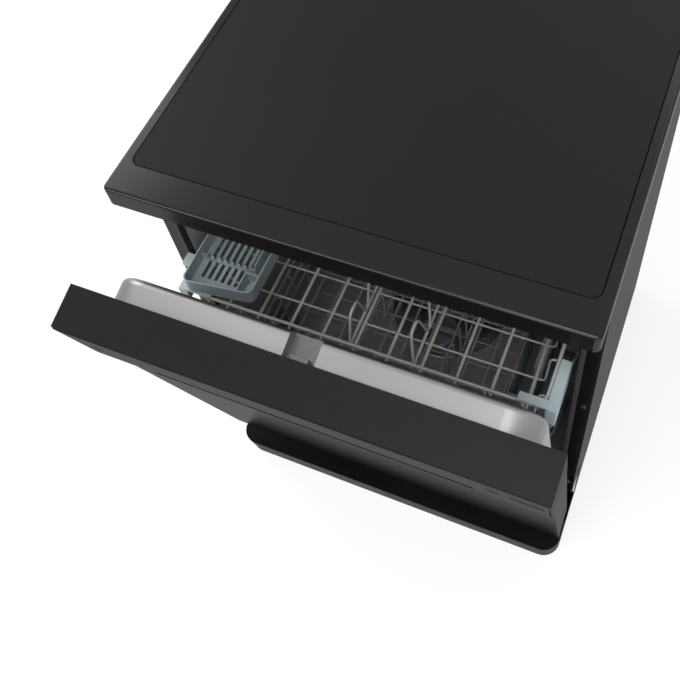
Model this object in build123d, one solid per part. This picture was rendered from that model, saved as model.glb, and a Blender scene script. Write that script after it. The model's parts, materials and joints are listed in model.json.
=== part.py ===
from build123d import *
import os
from math import cos, radians, sin

os.makedirs("parts", exist_ok=True)

# A freestanding 60 cm dishwasher with its door part open. Millimetres.
# x runs to the right, y from the front to the back, z up from the floor.
# While the pieces are made, y = 0 is the worktop's front edge and the door is closed.

# Clearances that are shared
seat_gap = 0.3
bore_clearance = 0.05
overrun = 2.0

# Cabinet
machine_width = 598.0
machine_depth = 600.0
machine_height = 850.0
sheet = 1.0
side_inset = 1.0
cabinet_front = 64.0
cabinet_back_inset = 2.0
front_flange = 18.0
back_flange = 15.0
panel_bottom = 5.0
swing_notch_depth = 61.0
swing_notch_top = 221.0
back_panel_bottom = 90.0
back_panel_top_gap = 2.0

# Worktop
top_thickness = 30.0
trim_front_width = 43.0
trim_side_width = 13.0
trim_length = 127.0
trim_seam = 0.5
groove_width = 1.2
groove_radius = 14.0
rim_corner_radius = 8.0
rim_edge_radius = 4.0
ledge_width = 8.0
ledge_thickness = 6.0

# Plinth
plinth_front = 8.0
plinth_foot_front = 17.0
plinth_height = 66.0
plinth_riser_top = 94.0
plinth_wall = 2.5
plinth_radius = 30.0
plinth_return_end = 124.0

# Base tray and feet
tray_front = 60.0
tray_rear_inset = 22.0
tray_bottom = 18.0
tray_wall = 3.0
tray_floor = 4.0
pillar_width = 40.0
pillar_depth = 30.0
pillar_front = 165.0
pillar_rear_inset = 60.0
pillar_side_inset = 19.3
foot_side_inset = 44.0
foot_front = 90.0
foot_rear_inset = 47.0
foot_pad_radius = 18.0
foot_pad_height = 8.0
foot_stem_radius = 5.0
foot_stem_top = 44.0
foot_boss_radius = 10.0
foot_boss_height = 30.0

# Tub
tub_side_space = 27.0
tub_floor_level = 187.0
tub_ceiling = 803.0
tub_front = 72.0
tub_rear_space = 40.0
tub_top_radius = 45.0
tub_bottom_radius = 8.0
tub_frame_inset = 2.5
tub_frame_bottom = 172.0
tub_frame_top = 818.0
tub_corner_notch_width = 18.5
tub_corner_notch_top = 240.0

# Door gasket, top rails and door lock
gasket_width = 6.5
gasket_front = 60.4
gasket_inset = 1.0
rail_height = 14.0
rail_depth = 25.0
rail_front = 130.0
rail_rear_inset = 40.0
lock_centre = -9.0
lock_width = 52.0
lock_front = 76.0
lock_depth = 49.0
tongue_width = 10.0
tongue_depth = 8.0
tongue_drop = 17.0
tongue_slot_gap = 2.0

# Door
door_rest_angle = 14.5
hinge_y = 66.0
hinge_z = 165.0
door_back = 60.0
door_top = 818.0
fascia_inset = 2.0
fascia_front = 4.0
fascia_height = 121.0
fascia_wall = 2.5
fascia_corner_radius = 3.0
cover_thickness = 2.7
cover_setback = 1.6
cover_gap = 0.6
panel_inset = 2.5
panel_front = 11.0
panel_bottom_edge = 125.0
panel_return_depth = 20.0
panel_top_gap = 1.0
liner_bottom = 150.0
liner_inset = 4.0
bulge_side_gap = 4.0
bulge_bottom = 195.0
bulge_top = 795.0
bulge_depth = 35.0
bulge_radius = 45.0
bulge_edge_radius = 9.0
hinge_slot_width = 17.0
hinge_slot_top = 240.0

# Latch on the door
notch_width = 40.0
notch_drop = 18.0
notch_front_wall = 2.0
strike_width = 22.0
strike_thickness = 6.0
strike_height = 16.0
strike_hole_width = 12.0
strike_hole_height = 7.0

# Grip pocket
grip_half_width = 207.0
grip_sill = 3.0
grip_mouth = 15.0
grip_depth = 39.0
grip_height = 43.0
grip_wall = 2.5

# Display, control board and buttons
display_inset = 29.0
display_width = 36.0
display_height = 24.0
display_level = 760.0
button_width = 14.0
button_height = 9.0
button_length = 6.3
button_proud = 0.3
button_fit = 0.3
power_button_inset = 37.0
program_button_inset = 67.0
board_width = 84.0
board_height = 60.0
board_thickness = 12.0
board_standoff = 6.0

# Detergent dispenser
dispenser_left = -20.0
dispenser_width = 160.0
dispenser_bottom = 345.0
dispenser_height = 130.0
dispenser_proud = 3.0
dispenser_lip = 4.0
dispenser_body_depth = 36.0
cup_left = -8.0
cup_width = 70.0
cup_bottom = 358.0
cup_height = 70.0
cup_depth = 28.0
lid_margin = 2.0
lid_thickness = 3.5
lid_grip_height = 3.0
cap_radius = 18.0
cap_thickness = 7.0
cap_margin = 17.0
cap_rib_width = 5.0
cap_rib_height = 3.0

# Hinges
bracket_inset = 19.0
bracket_thickness = 3.0
bracket_nose_radius = 14.0
bracket_end = 195.0
bracket_foot = 100.0
arm_inset = 15.0
arm_thickness = 3.0
arm_nose_radius = 12.0
arm_top = 420.0
arm_bottom = 190.0
arm_flange_width = 11.0
arm_flange_thickness = 2.0
pin_radius = 5.0
pin_end_inset = 9.0
seal_bottom = 162.0
seal_height = 8.0
seal_depth = 6.0

# Screws
screw_head_radius = 4.0
screw_head_height = 2.2
side_screw_radius = 3.5
side_screw_levels = (268.0, 545.0)
liner_screw_levels = (310.0, 420.0, 530.0, 640.0, 750.0)
liner_screw_inset = 8.0

# Springs that balance the door
spring_radius = 5.5
spring_bore = 3.5
spring_start = 205.0
spring_end = 385.0
spring_level = 130.0
spring_hook_radius = 1.5

# Water path under and behind the tub
sump_setback = 35.0
sump_radius = 92.0
sump_flange_radius = 104.0
sump_flange_thickness = 3.0
sump_bottom = 112.0
sump_wall = 3.0
post_radius = 11.0
post_top = 206.0
filter_plate_radius = 105.0
filter_plate_thickness = 2.5
filter_offset = 55.0
filter_radius = 30.0
filter_bottom = 130.0
filter_rim_top = 193.0
filter_grip_top = 203.0
filter_grip_width = 8.0
filter_wall = 2.5
pump_radius = 38.0
pump_left = -60.0
pump_length = 150.0
pump_setback = 65.0
pump_spout_radius = 14.0
drain_pump_radius = 26.0
drain_pump_length = 72.0
drain_pump_level = 142.0
softener_side_inset = 64.0
softener_width = 85.0
softener_setback = 175.0
softener_depth = 140.0
softener_top = 176.0
softener_neck_radius = 26.0
neck_clearance = 1.0
salt_cap_radius = 30.0
salt_cap_height = 12.0
salt_cap_rib = 6.0
port_level = 50.0
inlet_inset = 119.0
inlet_radius = 13.2
inlet_collar_radius = 15.0
inlet_body_width = 50.0
inlet_body_depth = 32.0
inlet_body_height = 44.0
drain_inset = 139.0
drain_radius = 9.5
drain_bore = 7.5
drain_tail_inside = 20.0
gland_inset = 84.0
gland_radius = 11.0
gland_bore = 5.0
gland_length = 16.0
port_end_inset = 3.0
port_wall_gap = 0.4
riser_radius = 9.0
riser_rear_inset = 25.0
riser_bottom = 134.0
riser_outlet_level = 534.0
riser_outlet_inset = 51.0

# Lower spray arm
lower_arm_gap = 10.0
lower_arm_hub_radius = 20.0
lower_arm_hub_top = 226.0
lower_arm_bottom = 211.0
arm_blade_thickness = 10.0
arm_root_width = 56.0
arm_tip_width = 34.0
nozzle_radius = 1.6
nozzle_spacing = 24.0
hub_floor_gap = 0.5

# Upper rack, placed as it stands with the door closed
upper_ratio = 360.0
rack_side_gap = 22.0
rack_rear_gap = 10.0
upper_front = 99.0
upper_floor = 548.0
upper_rim = 625.0
wire = 4.0
upper_pitch = 27.0
upper_cross_pitch = 48.0
rim_wire_drop = 34.0
bracket_strip_width = 13.7
bracket_strip_length = 72.0
bracket_strip_height = 41.0
bracket_return = 36.0
bracket_plastic = 4.0
bracket_return_width = 12.0
bracket_top_rise = 1.0
slide_front = 188.0
slide_rear_gap = 5.0
slide_bottom = 597.0
slide_height = 28.0
slide_steel = 2.0
slide_fit = 0.4
slide_step = 4.0
outer_slide_gap = 8.0

# Cutlery tray
tray_side_overhang = 2.0
tray_front_edge = 98.0
tray_slant = 12.0
tray_width = 100.0
tray_length = 190.0
tray_height = 26.0
tray_shell = 2.2
tray_radius = 10.0
tray_slot_width = 5.0
tray_slot_pitch = 10.0
tray_slot_margin = 14.0
tray_slot_front = 26.0
tray_cell_left = 78.0
tray_cell_back = 42.0
tray_divider = 85.0
tray_divider_front = 53.0
tray_lug_front = 26.0
tray_lug_length = 17.0
tray_lug_reach = 11.0
tray_lug_height = 9.0
comb_height = 14.0
comb_thickness = 2.0
comb_place_shares = (0.28, 0.72)

# Folding cup rows
cup_row_positions = (-30.0, 63.0)
cup_row_front = 130.0
cup_row_rear_gap = 30.0
cup_row_height = 56.0
cup_row_teeth = 6
cup_rod_radius = 2.0
cup_wire = 3.0

# Upper spray arm and its duct
upper_arm_setback = 30.0
upper_arm_gap = 16.0
upper_hub_radius = 18.0
upper_hub_bottom = 497.0
upper_hub_top = 522.0
upper_arm_bottom = 504.0
duct_radius = 8.0
duct_bore = 6.0
duct_end_gap = 1.6
duct_post_radius = 10.0
duct_clip_width = 24.0

# Lower rack, placed as it stands with the door closed
lower_ratio = 83.0
lower_front = 132.0
lower_floor = 238.0
lower_rim = 350.0
lower_pitch = 30.0
lower_cross_pitch = 46.0
wheel_radius = 18.0
wheel_width = 9.0
axle_radius = 4.0
wheel_side_gap = 1.5
front_wheel_y = 222.0
back_wheel_gap = 38.0
carrier_width = 26.0
carrier_thickness = 4.0
tine_row_positions = (-90.0, 60.0)
tine_row_front = 180.0
tine_row_rear_gap = 30.0
tine_height = 92.0
tine_count = 12
tine_width = 4.0

# Cutlery basket
basket_side_gap = 8.0
basket_width = 74.0
basket_front = 150.0
basket_length = 160.0
basket_height = 120.0
basket_wall = 2.2
basket_handle_rise = 34.0
basket_handle_width = 14.0
basket_handle_opening = 22.0
basket_slot_width = 6.0
basket_slot_pitch = 12.0

# Worked out from the sizes above
half_width = machine_width / 2
half_depth = machine_depth / 2
worktop_bottom = machine_height - top_thickness
side_outer = half_width - side_inset
side_inner = side_outer - sheet
tub_half_width = half_width - tub_side_space
tub_frame_half_width = half_width - tub_frame_inset
fascia_half_width = half_width - fascia_inset
panel_half_width = half_width - panel_inset
liner_half_width = half_width - liner_inset
bulge_half_width = tub_half_width - bulge_side_gap
pillar_outer = half_width - pillar_side_inset
foot_spread = half_width - foot_side_inset
bracket_inner = half_width - bracket_inset
arm_inner = half_width - arm_inset
pin_end_x = half_width - pin_end_inset
display_centre = half_width - display_inset
power_button_x = power_button_inset - half_width
program_button_x = half_width - program_button_inset
rack_half_width = tub_half_width - rack_side_gap
outer_slide_edge = rack_half_width + outer_slide_gap
wheel_inner = rack_half_width + wheel_side_gap
tray_left = -rack_half_width - tray_side_overhang
basket_left = rack_half_width - basket_side_gap - basket_width
tray_back = machine_depth - tray_rear_inset
pillar_back = machine_depth - pillar_rear_inset
foot_back = machine_depth - foot_rear_inset
rail_back = machine_depth - rail_rear_inset
port_end = machine_depth - port_end_inset
riser_y = machine_depth - riser_rear_inset
riser_outlet_end = machine_depth - riser_outlet_inset
tub_inside_back = machine_depth - tub_rear_space
rack_back = tub_inside_back - rack_rear_gap
slide_back = rack_back - slide_rear_gap
cup_row_back = rack_back - cup_row_rear_gap
tine_row_back = rack_back - tine_row_rear_gap
duct_end = rack_back - duct_end_gap
wheel_places = (front_wheel_y, rack_back - back_wheel_gap)
sump_y = half_depth + sump_setback
pump_y = sump_y + pump_setback
lower_arm_radius = tub_inside_back - sump_y - lower_arm_gap
upper_arm_y = half_depth + upper_arm_setback
softener_left = softener_side_inset - half_width
softener_front = sump_y - softener_setback
inlet_x = inlet_inset - half_width
drain_x = half_width - drain_inset
gland_x = half_width - gland_inset
upper_arm_radius = tub_inside_back - upper_arm_y - upper_arm_gap
cabinet_back = machine_depth - cabinet_back_inset
tray_side = side_inner - seat_gap - plinth_wall
tray_floor_top = tray_bottom + tray_floor
fascia_bottom = door_top - fascia_height
liner_top = door_top - cover_thickness - seat_gap
tray_level = upper_rim + bracket_plastic + seat_gap
rest = radians(door_rest_angle)
upper_out = upper_ratio * rest
lower_out = lower_ratio * rest
front_most = hinge_y + (fascia_front - hinge_y) * cos(rest) - (door_top - hinge_z) * sin(rest)
middle_y = (front_most + machine_depth) / 2


def block(x, y, z):
    """A box between two values along each axis."""
    size = (x[1] - x[0], y[1] - y[0], z[1] - z[0])
    return Pos(x[0], y[0], z[0]) * Box(*size, align=(Align.MIN, Align.MIN, Align.MIN))


def rod(start, radius, length, along=(0, 0, 1)):
    """A round bar from a point along a direction."""
    bar = Cylinder(radius, length, align=(Align.CENTER, Align.CENTER, Align.MIN))
    return Plane(origin=start, z_dir=along) * bar


def side_plate(points, x_from, x_to):
    """A flat piece whose outline is given in y and z."""
    face = make_face(Polyline(*points, close=True))
    plane = Plane(origin=(x_from, 0, 0), x_dir=(0, 1, 0), z_dir=(1, 0, 0))
    return extrude(plane * face, amount=x_to - x_from)


def front_plate(face, y_from, y_to):
    """A flat piece whose face is drawn in x and z."""
    plane = Plane(origin=(0, y_to, 0), x_dir=(1, 0, 0), z_dir=(0, -1, 0))
    return extrude(plane * face, amount=y_to - y_from)


def rounded(x, z, radius):
    """A rounded rectangle between two values along each of two axes."""
    centre = Pos((x[0] + x[1]) / 2, (z[0] + z[1]) / 2)
    return centre * RectangleRounded(x[1] - x[0], z[1] - z[0], radius)


def mirrored(shape):
    """The same piece on the other side of the machine."""
    return mirror(shape, about=Plane.YZ)


def both_sides(shape):
    """A pair of like pieces, one on each side."""
    return [shape, mirrored(shape)]


def turned_door(shape):
    """A door piece, swung from closed to where it rests."""
    swing = Pos(0, hinge_y, hinge_z) * Rot(X=door_rest_angle) * Pos(0, -hinge_y, -hinge_z)
    return swing * shape


def save(name, *shapes):
    """Write one sub-part, moved to the middle of the machine's depth."""
    solids = [Pos(0, -middle_y, 0) * solid for shape in shapes for solid in shape.solids()]
    whole = solids[0] if len(solids) == 1 else Compound(solids)
    export_step(whole, f"parts/{name}.step")


# Worktop: a board in a frame, whose front part wraps round both corners
def worktop():
    outer = extrude(Pos(0, half_depth) * RectangleRounded(machine_width, machine_depth, rim_corner_radius),
                    amount=top_thickness)
    outer = Pos(0, 0, worktop_bottom) * outer
    outer = fillet(outer.faces().sort_by(Axis.Z)[-1].edges(), rim_edge_radius)
    window_x = (-half_width + trim_side_width, half_width - trim_side_width)
    window_y = (trim_front_width, machine_depth - trim_side_width)
    window = extrude(rounded(window_x, window_y, groove_radius), amount=top_thickness)
    lower_x = (window_x[0] + ledge_width, window_x[1] - ledge_width)
    lower_y = (window_y[0] + ledge_width, window_y[1] - ledge_width)
    lower = extrude(rounded(lower_x, lower_y, groove_radius), amount=machine_height)
    frame = outer - Pos(0, 0, worktop_bottom + ledge_thickness) * window - lower
    across = (-machine_width, machine_width)
    up = (0, machine_height + overrun)
    front = frame & block(across, (-overrun, trim_length), up)
    rear = frame & block(across, (trim_length + trim_seam, machine_depth + overrun), up)
    board_x = (window_x[0] + groove_width, window_x[1] - groove_width)
    board_y = (window_y[0] + groove_width, window_y[1] - groove_width)
    board = rounded(board_x, board_y, groove_radius - groove_width)
    board = extrude(board, amount=top_thickness - ledge_thickness)
    save("worktop_front_trim", front)
    save("worktop_rear_trim", rear)
    save("worktop_board", Pos(0, 0, worktop_bottom + ledge_thickness) * board)


worktop()


# Side panels, back panel and top rails
def side_panel():
    notch_back = cabinet_front + swing_notch_depth
    outline = [
        (notch_back, panel_bottom),
        (cabinet_back, panel_bottom),
        (cabinet_back, worktop_bottom),
        (cabinet_front, worktop_bottom),
        (cabinet_front, swing_notch_top),
        (notch_back, swing_notch_top),
    ]
    wall = side_plate(outline, side_inner, side_outer)
    front = block((side_outer - front_flange, side_outer), (cabinet_front, cabinet_front + sheet),
                  (swing_notch_top, worktop_bottom))
    back = block((side_outer - back_flange, side_outer), (cabinet_back - sheet, cabinet_back),
                 (panel_bottom, worktop_bottom))
    return wall + front + back


right_panel = side_panel()
save("side_panel_right", right_panel)
save("side_panel_left", mirrored(right_panel))
save("back_panel", block((-side_inner, side_inner), (cabinet_back, cabinet_back + sheet),
                         (back_panel_bottom, worktop_bottom - back_panel_top_gap)))

rail_x = (-side_inner + seat_gap, side_inner - seat_gap)
rail_z = (worktop_bottom - rail_height, worktop_bottom)


def top_rail(front):
    outer = block(rail_x, (front, front + rail_depth), rail_z)
    hollow = block(rail_x, (front + sheet, front + rail_depth - sheet), (rail_z[0], rail_z[1] - sheet))
    return outer - hollow


save("top_rails", top_rail(rail_front), top_rail(rail_back))


# Plinth: a front board that leans out towards its top, with rounded corners and side
# returns, a short top, and a riser behind that closes the gap under the door
def plinth_block(inset):
    """The plinth's outer form, or the same form set in by a wall's thickness."""
    width = (-side_outer + inset, side_outer - inset)
    back = plinth_return_end + plinth_radius + inset
    foot = rounded(width, (plinth_foot_front + inset, back), plinth_radius - inset)
    head = rounded(width, (plinth_front + inset, back), plinth_radius - inset)
    return loft([Pos(0, 0, panel_bottom) * foot, Pos(0, 0, plinth_height) * head])


def plinth():
    width = (-side_outer, side_outer)
    form = plinth_block(0)
    shell = form - plinth_block(plinth_wall)
    shell = shell & block(width, (plinth_front, plinth_return_end), (panel_bottom, plinth_height))
    lid = form & block(width, (plinth_front, tray_front), (plinth_height - plinth_wall, plinth_height))
    riser_back = tray_front - seat_gap
    riser = block(width, (riser_back - plinth_wall, riser_back),
                  (plinth_height - plinth_wall, plinth_riser_top))
    return shell + lid + riser


save("plinth", plinth())


# Base tray with four pillars under the tub and four bosses for the feet
foot_places = [(x, y) for x in (-foot_spread, foot_spread) for y in (foot_front, foot_back)]
hole_radius = foot_stem_radius + seat_gap


def base_tray():
    outer = block((-tray_side, tray_side), (tray_front, tray_back),
                  (tray_bottom, plinth_height - plinth_wall))
    inner_x = (-tray_side + tray_wall, tray_side - tray_wall)
    inner_y = (tray_front + tray_wall, tray_back - tray_wall)
    inner = block(inner_x, inner_y, (tray_floor_top, plinth_height))
    tray = outer - inner
    for x, y in foot_places:
        tray += rod((x, y, tray_bottom), foot_boss_radius, foot_boss_height)
    pillar_top = tub_floor_level - sheet
    for pillar_y in (pillar_front, pillar_back - pillar_depth):
        pillar = block((pillar_outer - pillar_width, pillar_outer), (pillar_y, pillar_y + pillar_depth),
                       (tray_bottom, pillar_top))
        tray = tray + pillar + mirrored(pillar)
    for x, y in foot_places:
        tray -= rod((x, y, tray_bottom - overrun), hole_radius, foot_boss_height + overrun + overrun)
    for x, radius in ((inlet_x, inlet_collar_radius), (gland_x, gland_radius)):
        start = (x, tray_back - tray_wall - overrun, port_level)
        tray -= rod(start, radius + port_wall_gap, tray_wall + overrun + overrun, (0, 1, 0))
    inner_start = (drain_x, tray_back - tray_wall - drain_tail_inside, port_level)
    tray += rod(inner_start, drain_radius, port_end - inner_start[1], (0, 1, 0))
    return tray - rod((drain_x, 0, port_level), drain_bore, machine_depth, (0, 1, 0))


save("base_tray", base_tray())

feet = []
for x, y in foot_places:
    pad = rod((x, y, 0), foot_pad_radius, foot_pad_height)
    feet.append(pad + rod((x, y, 0), foot_stem_radius, foot_stem_top))
save("levelling_feet", *feet)


# Tub: welded stainless sheets, which are a wrapper with the sides and ceiling, a floor,
# a back, and a flat frame turned outwards round the open front
def tub_section(grow):
    """The tub's section in x and z, with wide upper corners and tight lower ones."""
    width = (-tub_half_width - grow, tub_half_width + grow)
    middle = (tub_floor_level + tub_ceiling) / 2
    upper = rounded(width, (tub_floor_level - grow, tub_ceiling + grow), tub_top_radius + grow)
    lower = rounded(width, (tub_floor_level - grow, middle), tub_bottom_radius + grow)
    return upper + lower


def tub_frame():
    frame_x = (-tub_frame_half_width, tub_frame_half_width)
    frame = block(frame_x, (tub_front, tub_front + sheet), (tub_frame_bottom, tub_frame_top))
    frame -= front_plate(tub_section(sheet), tub_front - overrun, tub_front + sheet + overrun)
    notch_x = (tub_frame_half_width - tub_corner_notch_width, tub_frame_half_width + overrun)
    notch = block(notch_x, (tub_front - overrun, tub_front + sheet + overrun),
                  (tub_frame_bottom - overrun, tub_corner_notch_top))
    return frame - notch - mirrored(notch)


def tub_floor():
    floor_half = tub_half_width - tub_bottom_radius
    floor_z = tub_floor_level - sheet
    floor = block((-floor_half, floor_half), (tub_front, tub_inside_back), (floor_z, tub_floor_level))
    floor -= rod((0, sump_y, floor_z - overrun), sump_radius - sump_wall, sheet + overrun * 2)
    neck_x = softener_left + softener_width / 2
    neck_y = softener_front + softener_depth / 2
    return floor - rod((neck_x, neck_y, floor_z - overrun), softener_neck_radius + neck_clearance,
                       sheet + overrun * 2)


def tub_wrapper():
    wrapper = front_plate(tub_section(sheet), tub_front, tub_inside_back)
    wrapper -= front_plate(tub_section(0), tub_front - overrun, tub_inside_back + overrun)
    floor_half = tub_half_width - tub_bottom_radius
    wrapper -= block((-floor_half, floor_half), (0, machine_depth), (0, tub_floor_level + overrun))
    slot_half = tongue_width / 2 + tongue_slot_gap
    slot_y = (lock_front - tongue_slot_gap, lock_front + tongue_depth + tongue_slot_gap)
    slot = block((lock_centre - slot_half, lock_centre + slot_half), slot_y,
                 (tub_ceiling - overrun, tub_ceiling + sheet + overrun))
    return wrapper - slot


def tub_back():
    back = front_plate(tub_section(sheet), tub_inside_back, tub_inside_back + sheet)
    outlet = (0, tub_inside_back - overrun, riser_outlet_level)
    return back - rod(outlet, riser_radius + port_wall_gap, sheet + overrun * 2, (0, 1, 0))


save("tub", tub_wrapper(), tub_floor(), tub_back(), tub_frame())


def gasket():
    grown = tub_section(gasket_inset + gasket_width)
    ring = front_plate(grown, gasket_front, tub_front) - front_plate(tub_section(gasket_inset), 0, tub_front)
    cut = block((-side_outer, side_outer), (0, tub_front), (0, tub_corner_notch_top))
    return ring - cut


save("door_gasket", gasket())


# Door lock above the tub's ceiling, with a tongue that reaches down through it
def door_lock():
    half = lock_width / 2
    bottom = tub_ceiling + sheet + seat_gap
    body = block((lock_centre - half, lock_centre + half), (lock_front, lock_front + lock_depth),
                 (bottom, worktop_bottom - seat_gap))
    tongue_half = tongue_width / 2
    tongue = block((lock_centre - tongue_half, lock_centre + tongue_half),
                   (lock_front, lock_front + tongue_depth), (tub_ceiling - tongue_drop, bottom))
    return body + tongue


save("door_lock", door_lock())


# Fascia across the top of the door
def fascia():
    across = (-fascia_half_width, fascia_half_width)
    top = door_top - cover_thickness - cover_gap
    outer = block(across, (fascia_front, door_back - sheet - seat_gap), (fascia_bottom, top))
    upright = outer.edges().filter_by(Axis.Z).sort_by(Axis.Y)[:2]
    lower = outer.edges().filter_by(Axis.X).sort_by(Axis.Z)[:1]
    outer = fillet(upright + lower, fascia_corner_radius)
    inner = block((across[0] + fascia_wall, across[1] - fascia_wall),
                  (fascia_front + fascia_wall, door_back), (fascia_bottom + fascia_wall, door_top))
    shell = outer - inner
    mouth_bottom = fascia_bottom + grip_sill
    shell -= block((-grip_half_width, grip_half_width), (0, fascia_front + fascia_wall),
                   (mouth_bottom, mouth_bottom + grip_mouth))
    through = (0, fascia_front + fascia_wall + overrun)
    shell -= block(spread(display_centre, display_width + seat_gap + seat_gap), through,
                   spread(display_level, display_height + seat_gap + seat_gap))
    for x in (power_button_x, program_button_x):
        shell -= block(spread(x, button_width + button_fit + button_fit), through,
                       spread(display_level, button_height + button_fit + button_fit))
    return shell


def spread(centre, width):
    """The two limits of a width about its centre."""
    return (centre - width / 2, centre + width / 2)


save("fascia", turned_door(fascia()))

cover = block((-fascia_half_width, fascia_half_width), (fascia_front + cover_setback, door_back),
              (door_top - cover_thickness, door_top))
cover_edges = cover.edges().filter_by(Axis.X).sort_by(Axis.Y)
cover = fillet(cover_edges[:1], cover_gap)
ledge_half = fascia_half_width - fascia_wall - seat_gap
cover_ledge = block((-ledge_half, ledge_half),
                    (fascia_front + fascia_wall + seat_gap, door_back - sheet - seat_gap),
                    (door_top - cover_thickness - cover_gap - cover_thickness, door_top - cover_thickness))
ledge_hollow = block((-fascia_half_width + front_flange, fascia_half_width - front_flange),
                     (fascia_front + front_flange, door_back),
                     (fascia_bottom, door_top - cover_thickness))
save("fascia_top_cover", turned_door(cover + (cover_ledge - ledge_hollow)))


# Grip pocket: an open-fronted cup behind the fascia's lower edge
def grip_pocket():
    floor_level = fascia_bottom + fascia_wall + seat_gap
    front = fascia_front + fascia_wall + seat_gap
    outer_half = grip_half_width + grip_wall
    outer = block((-outer_half, outer_half), (front, front + grip_depth + grip_wall),
                  (floor_level, floor_level + grip_height + grip_wall + grip_wall))
    hollow = block((-grip_half_width, grip_half_width), (front - overrun, front + grip_depth),
                   (floor_level + grip_wall, floor_level + grip_wall + grip_height))
    return outer - hollow


save("grip_pocket", turned_door(grip_pocket()))
save("display_window", turned_door(block(spread(display_centre, display_width),
                                         (fascia_front, fascia_front + fascia_wall),
                                         spread(display_level, display_height))))


# Control board behind the display, on the back of the fascia
def control_board():
    front = fascia_front + fascia_wall + seat_gap
    right = fascia_half_width - fascia_wall - seat_gap
    board_front = fascia_front - button_proud + button_length + board_standoff
    board = block((right - board_width, right), (board_front, board_front + board_thickness),
                  spread(display_level, board_height))
    leg_z = spread(display_level, board_height)
    leg = block((right - board_standoff, right), (front, board_front), leg_z)
    far_leg = block((right - board_width, right - board_width + board_standoff), (front, board_front), leg_z)
    return board + leg + far_leg


save("control_board", turned_door(control_board()))

for button_name, x in (("power_button", power_button_x), ("program_button", program_button_x)):
    key_y = (fascia_front - button_proud, fascia_front - button_proud + button_length)
    key = block(spread(x, button_width), key_y, spread(display_level, button_height))
    save(button_name, turned_door(key))


# Outer door panel: a shallow steel pan, deeper where the liner meets it
def outer_panel():
    top = fascia_bottom - panel_top_gap
    lower_back = panel_front + panel_return_depth
    upper_back = door_back - sheet - seat_gap
    front = block((-panel_half_width, panel_half_width), (panel_front, panel_front + sheet),
                  (panel_bottom_edge, top))
    outline = [
        (panel_front, panel_bottom_edge),
        (lower_back, panel_bottom_edge),
        (lower_back, liner_bottom),
        (upper_back, liner_bottom),
        (upper_back, top),
        (panel_front, top),
    ]
    side = side_plate(outline, panel_half_width - sheet, panel_half_width)
    bottom = block((-panel_half_width, panel_half_width), (panel_front, lower_back),
                   (panel_bottom_edge, panel_bottom_edge + sheet))
    return front + side + mirrored(side) + bottom


save("door_outer_panel", turned_door(outer_panel()))


# Door liner: a stainless sheet with a deep pressed field and a latch notch
def liner():
    flange = block((-liner_half_width, liner_half_width), (door_back - sheet, door_back),
                   (liner_bottom, liner_top))
    slot_x = (liner_half_width - hinge_slot_width, liner_half_width + overrun)
    slot = block(slot_x, (0, door_back + overrun), (liner_bottom - overrun, hinge_slot_top))
    flange = flange - slot - mirrored(slot)
    field_back = door_back + bulge_depth
    field = rounded((-bulge_half_width, bulge_half_width), (bulge_bottom, bulge_top), bulge_radius)
    outer = front_plate(field, door_back - sheet, field_back)
    outer = fillet(outer.faces().sort_by(Axis.Y)[-1].edges(), bulge_edge_radius)
    inner_x = (-bulge_half_width + sheet, bulge_half_width - sheet)
    inner_z = (bulge_bottom + sheet, bulge_top - sheet)
    inner = front_plate(rounded(inner_x, inner_z, bulge_radius - sheet), 0, field_back - sheet)
    inner = fillet(inner.faces().sort_by(Axis.Y)[-1].edges(), bulge_edge_radius - sheet)
    notch = block(spread(lock_centre, notch_width), (door_back + notch_front_wall, field_back + overrun),
                  (bulge_top - notch_drop, bulge_top + overrun))
    notch_shell = block(spread(lock_centre, notch_width + sheet + sheet),
                        (door_back + notch_front_wall - sheet, field_back + overrun),
                        (bulge_top - notch_drop - sheet, bulge_top + overrun))
    shell = (flange + outer - notch) - (inner - notch_shell)
    hole_x = (dispenser_left + dispenser_lip, dispenser_left + dispenser_width - dispenser_lip)
    hole_z = (dispenser_bottom + dispenser_lip, dispenser_bottom + dispenser_height - dispenser_lip)
    return shell - block(hole_x, (door_back, field_back + overrun), hole_z)


save("door_liner", turned_door(liner()))


def latch_strike():
    floor_level = bulge_top - notch_drop + seat_gap
    front = door_back + notch_front_wall + seat_gap
    plate = block(spread(lock_centre, strike_width), (front, front + strike_thickness),
                  (floor_level, floor_level + strike_height))
    centre = floor_level + strike_height / 2
    return plate - block(spread(lock_centre, strike_hole_width), (0, front + strike_thickness + overrun),
                         spread(centre, strike_hole_height))


save("latch_strike", turned_door(latch_strike()))


# Detergent dispenser set into the liner, with a sliding lid and a rinse-aid cap
face_y = door_back + bulge_depth + dispenser_proud


def dispenser():
    lip = block((dispenser_left, dispenser_left + dispenser_width),
                (door_back + bulge_depth + seat_gap, face_y),
                (dispenser_bottom, dispenser_bottom + dispenser_height))
    inset = dispenser_lip + seat_gap
    box = block((dispenser_left + inset, dispenser_left + dispenser_width - inset),
                (face_y - dispenser_body_depth, face_y),
                (dispenser_bottom + inset, dispenser_bottom + dispenser_height - inset))
    cup = block((cup_left, cup_left + cup_width), (face_y - cup_depth, face_y + overrun),
                (cup_bottom, cup_bottom + cup_height))
    return lip + box - cup


save("dispenser_body", turned_door(dispenser()))

lid_x = (cup_left - lid_margin, cup_left + cup_width + lid_margin)
lid_z = (cup_bottom - lid_margin, cup_bottom + cup_height + lid_margin)
lid = block(lid_x, (face_y + seat_gap, face_y + seat_gap + lid_thickness), lid_z)
lid_grip = block(lid_x, (face_y + seat_gap, face_y + seat_gap + lid_thickness + lid_grip_height),
                 (lid_z[1] - lid_grip_height, lid_z[1]))
save("dispenser_lid", turned_door(lid + lid_grip))

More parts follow.
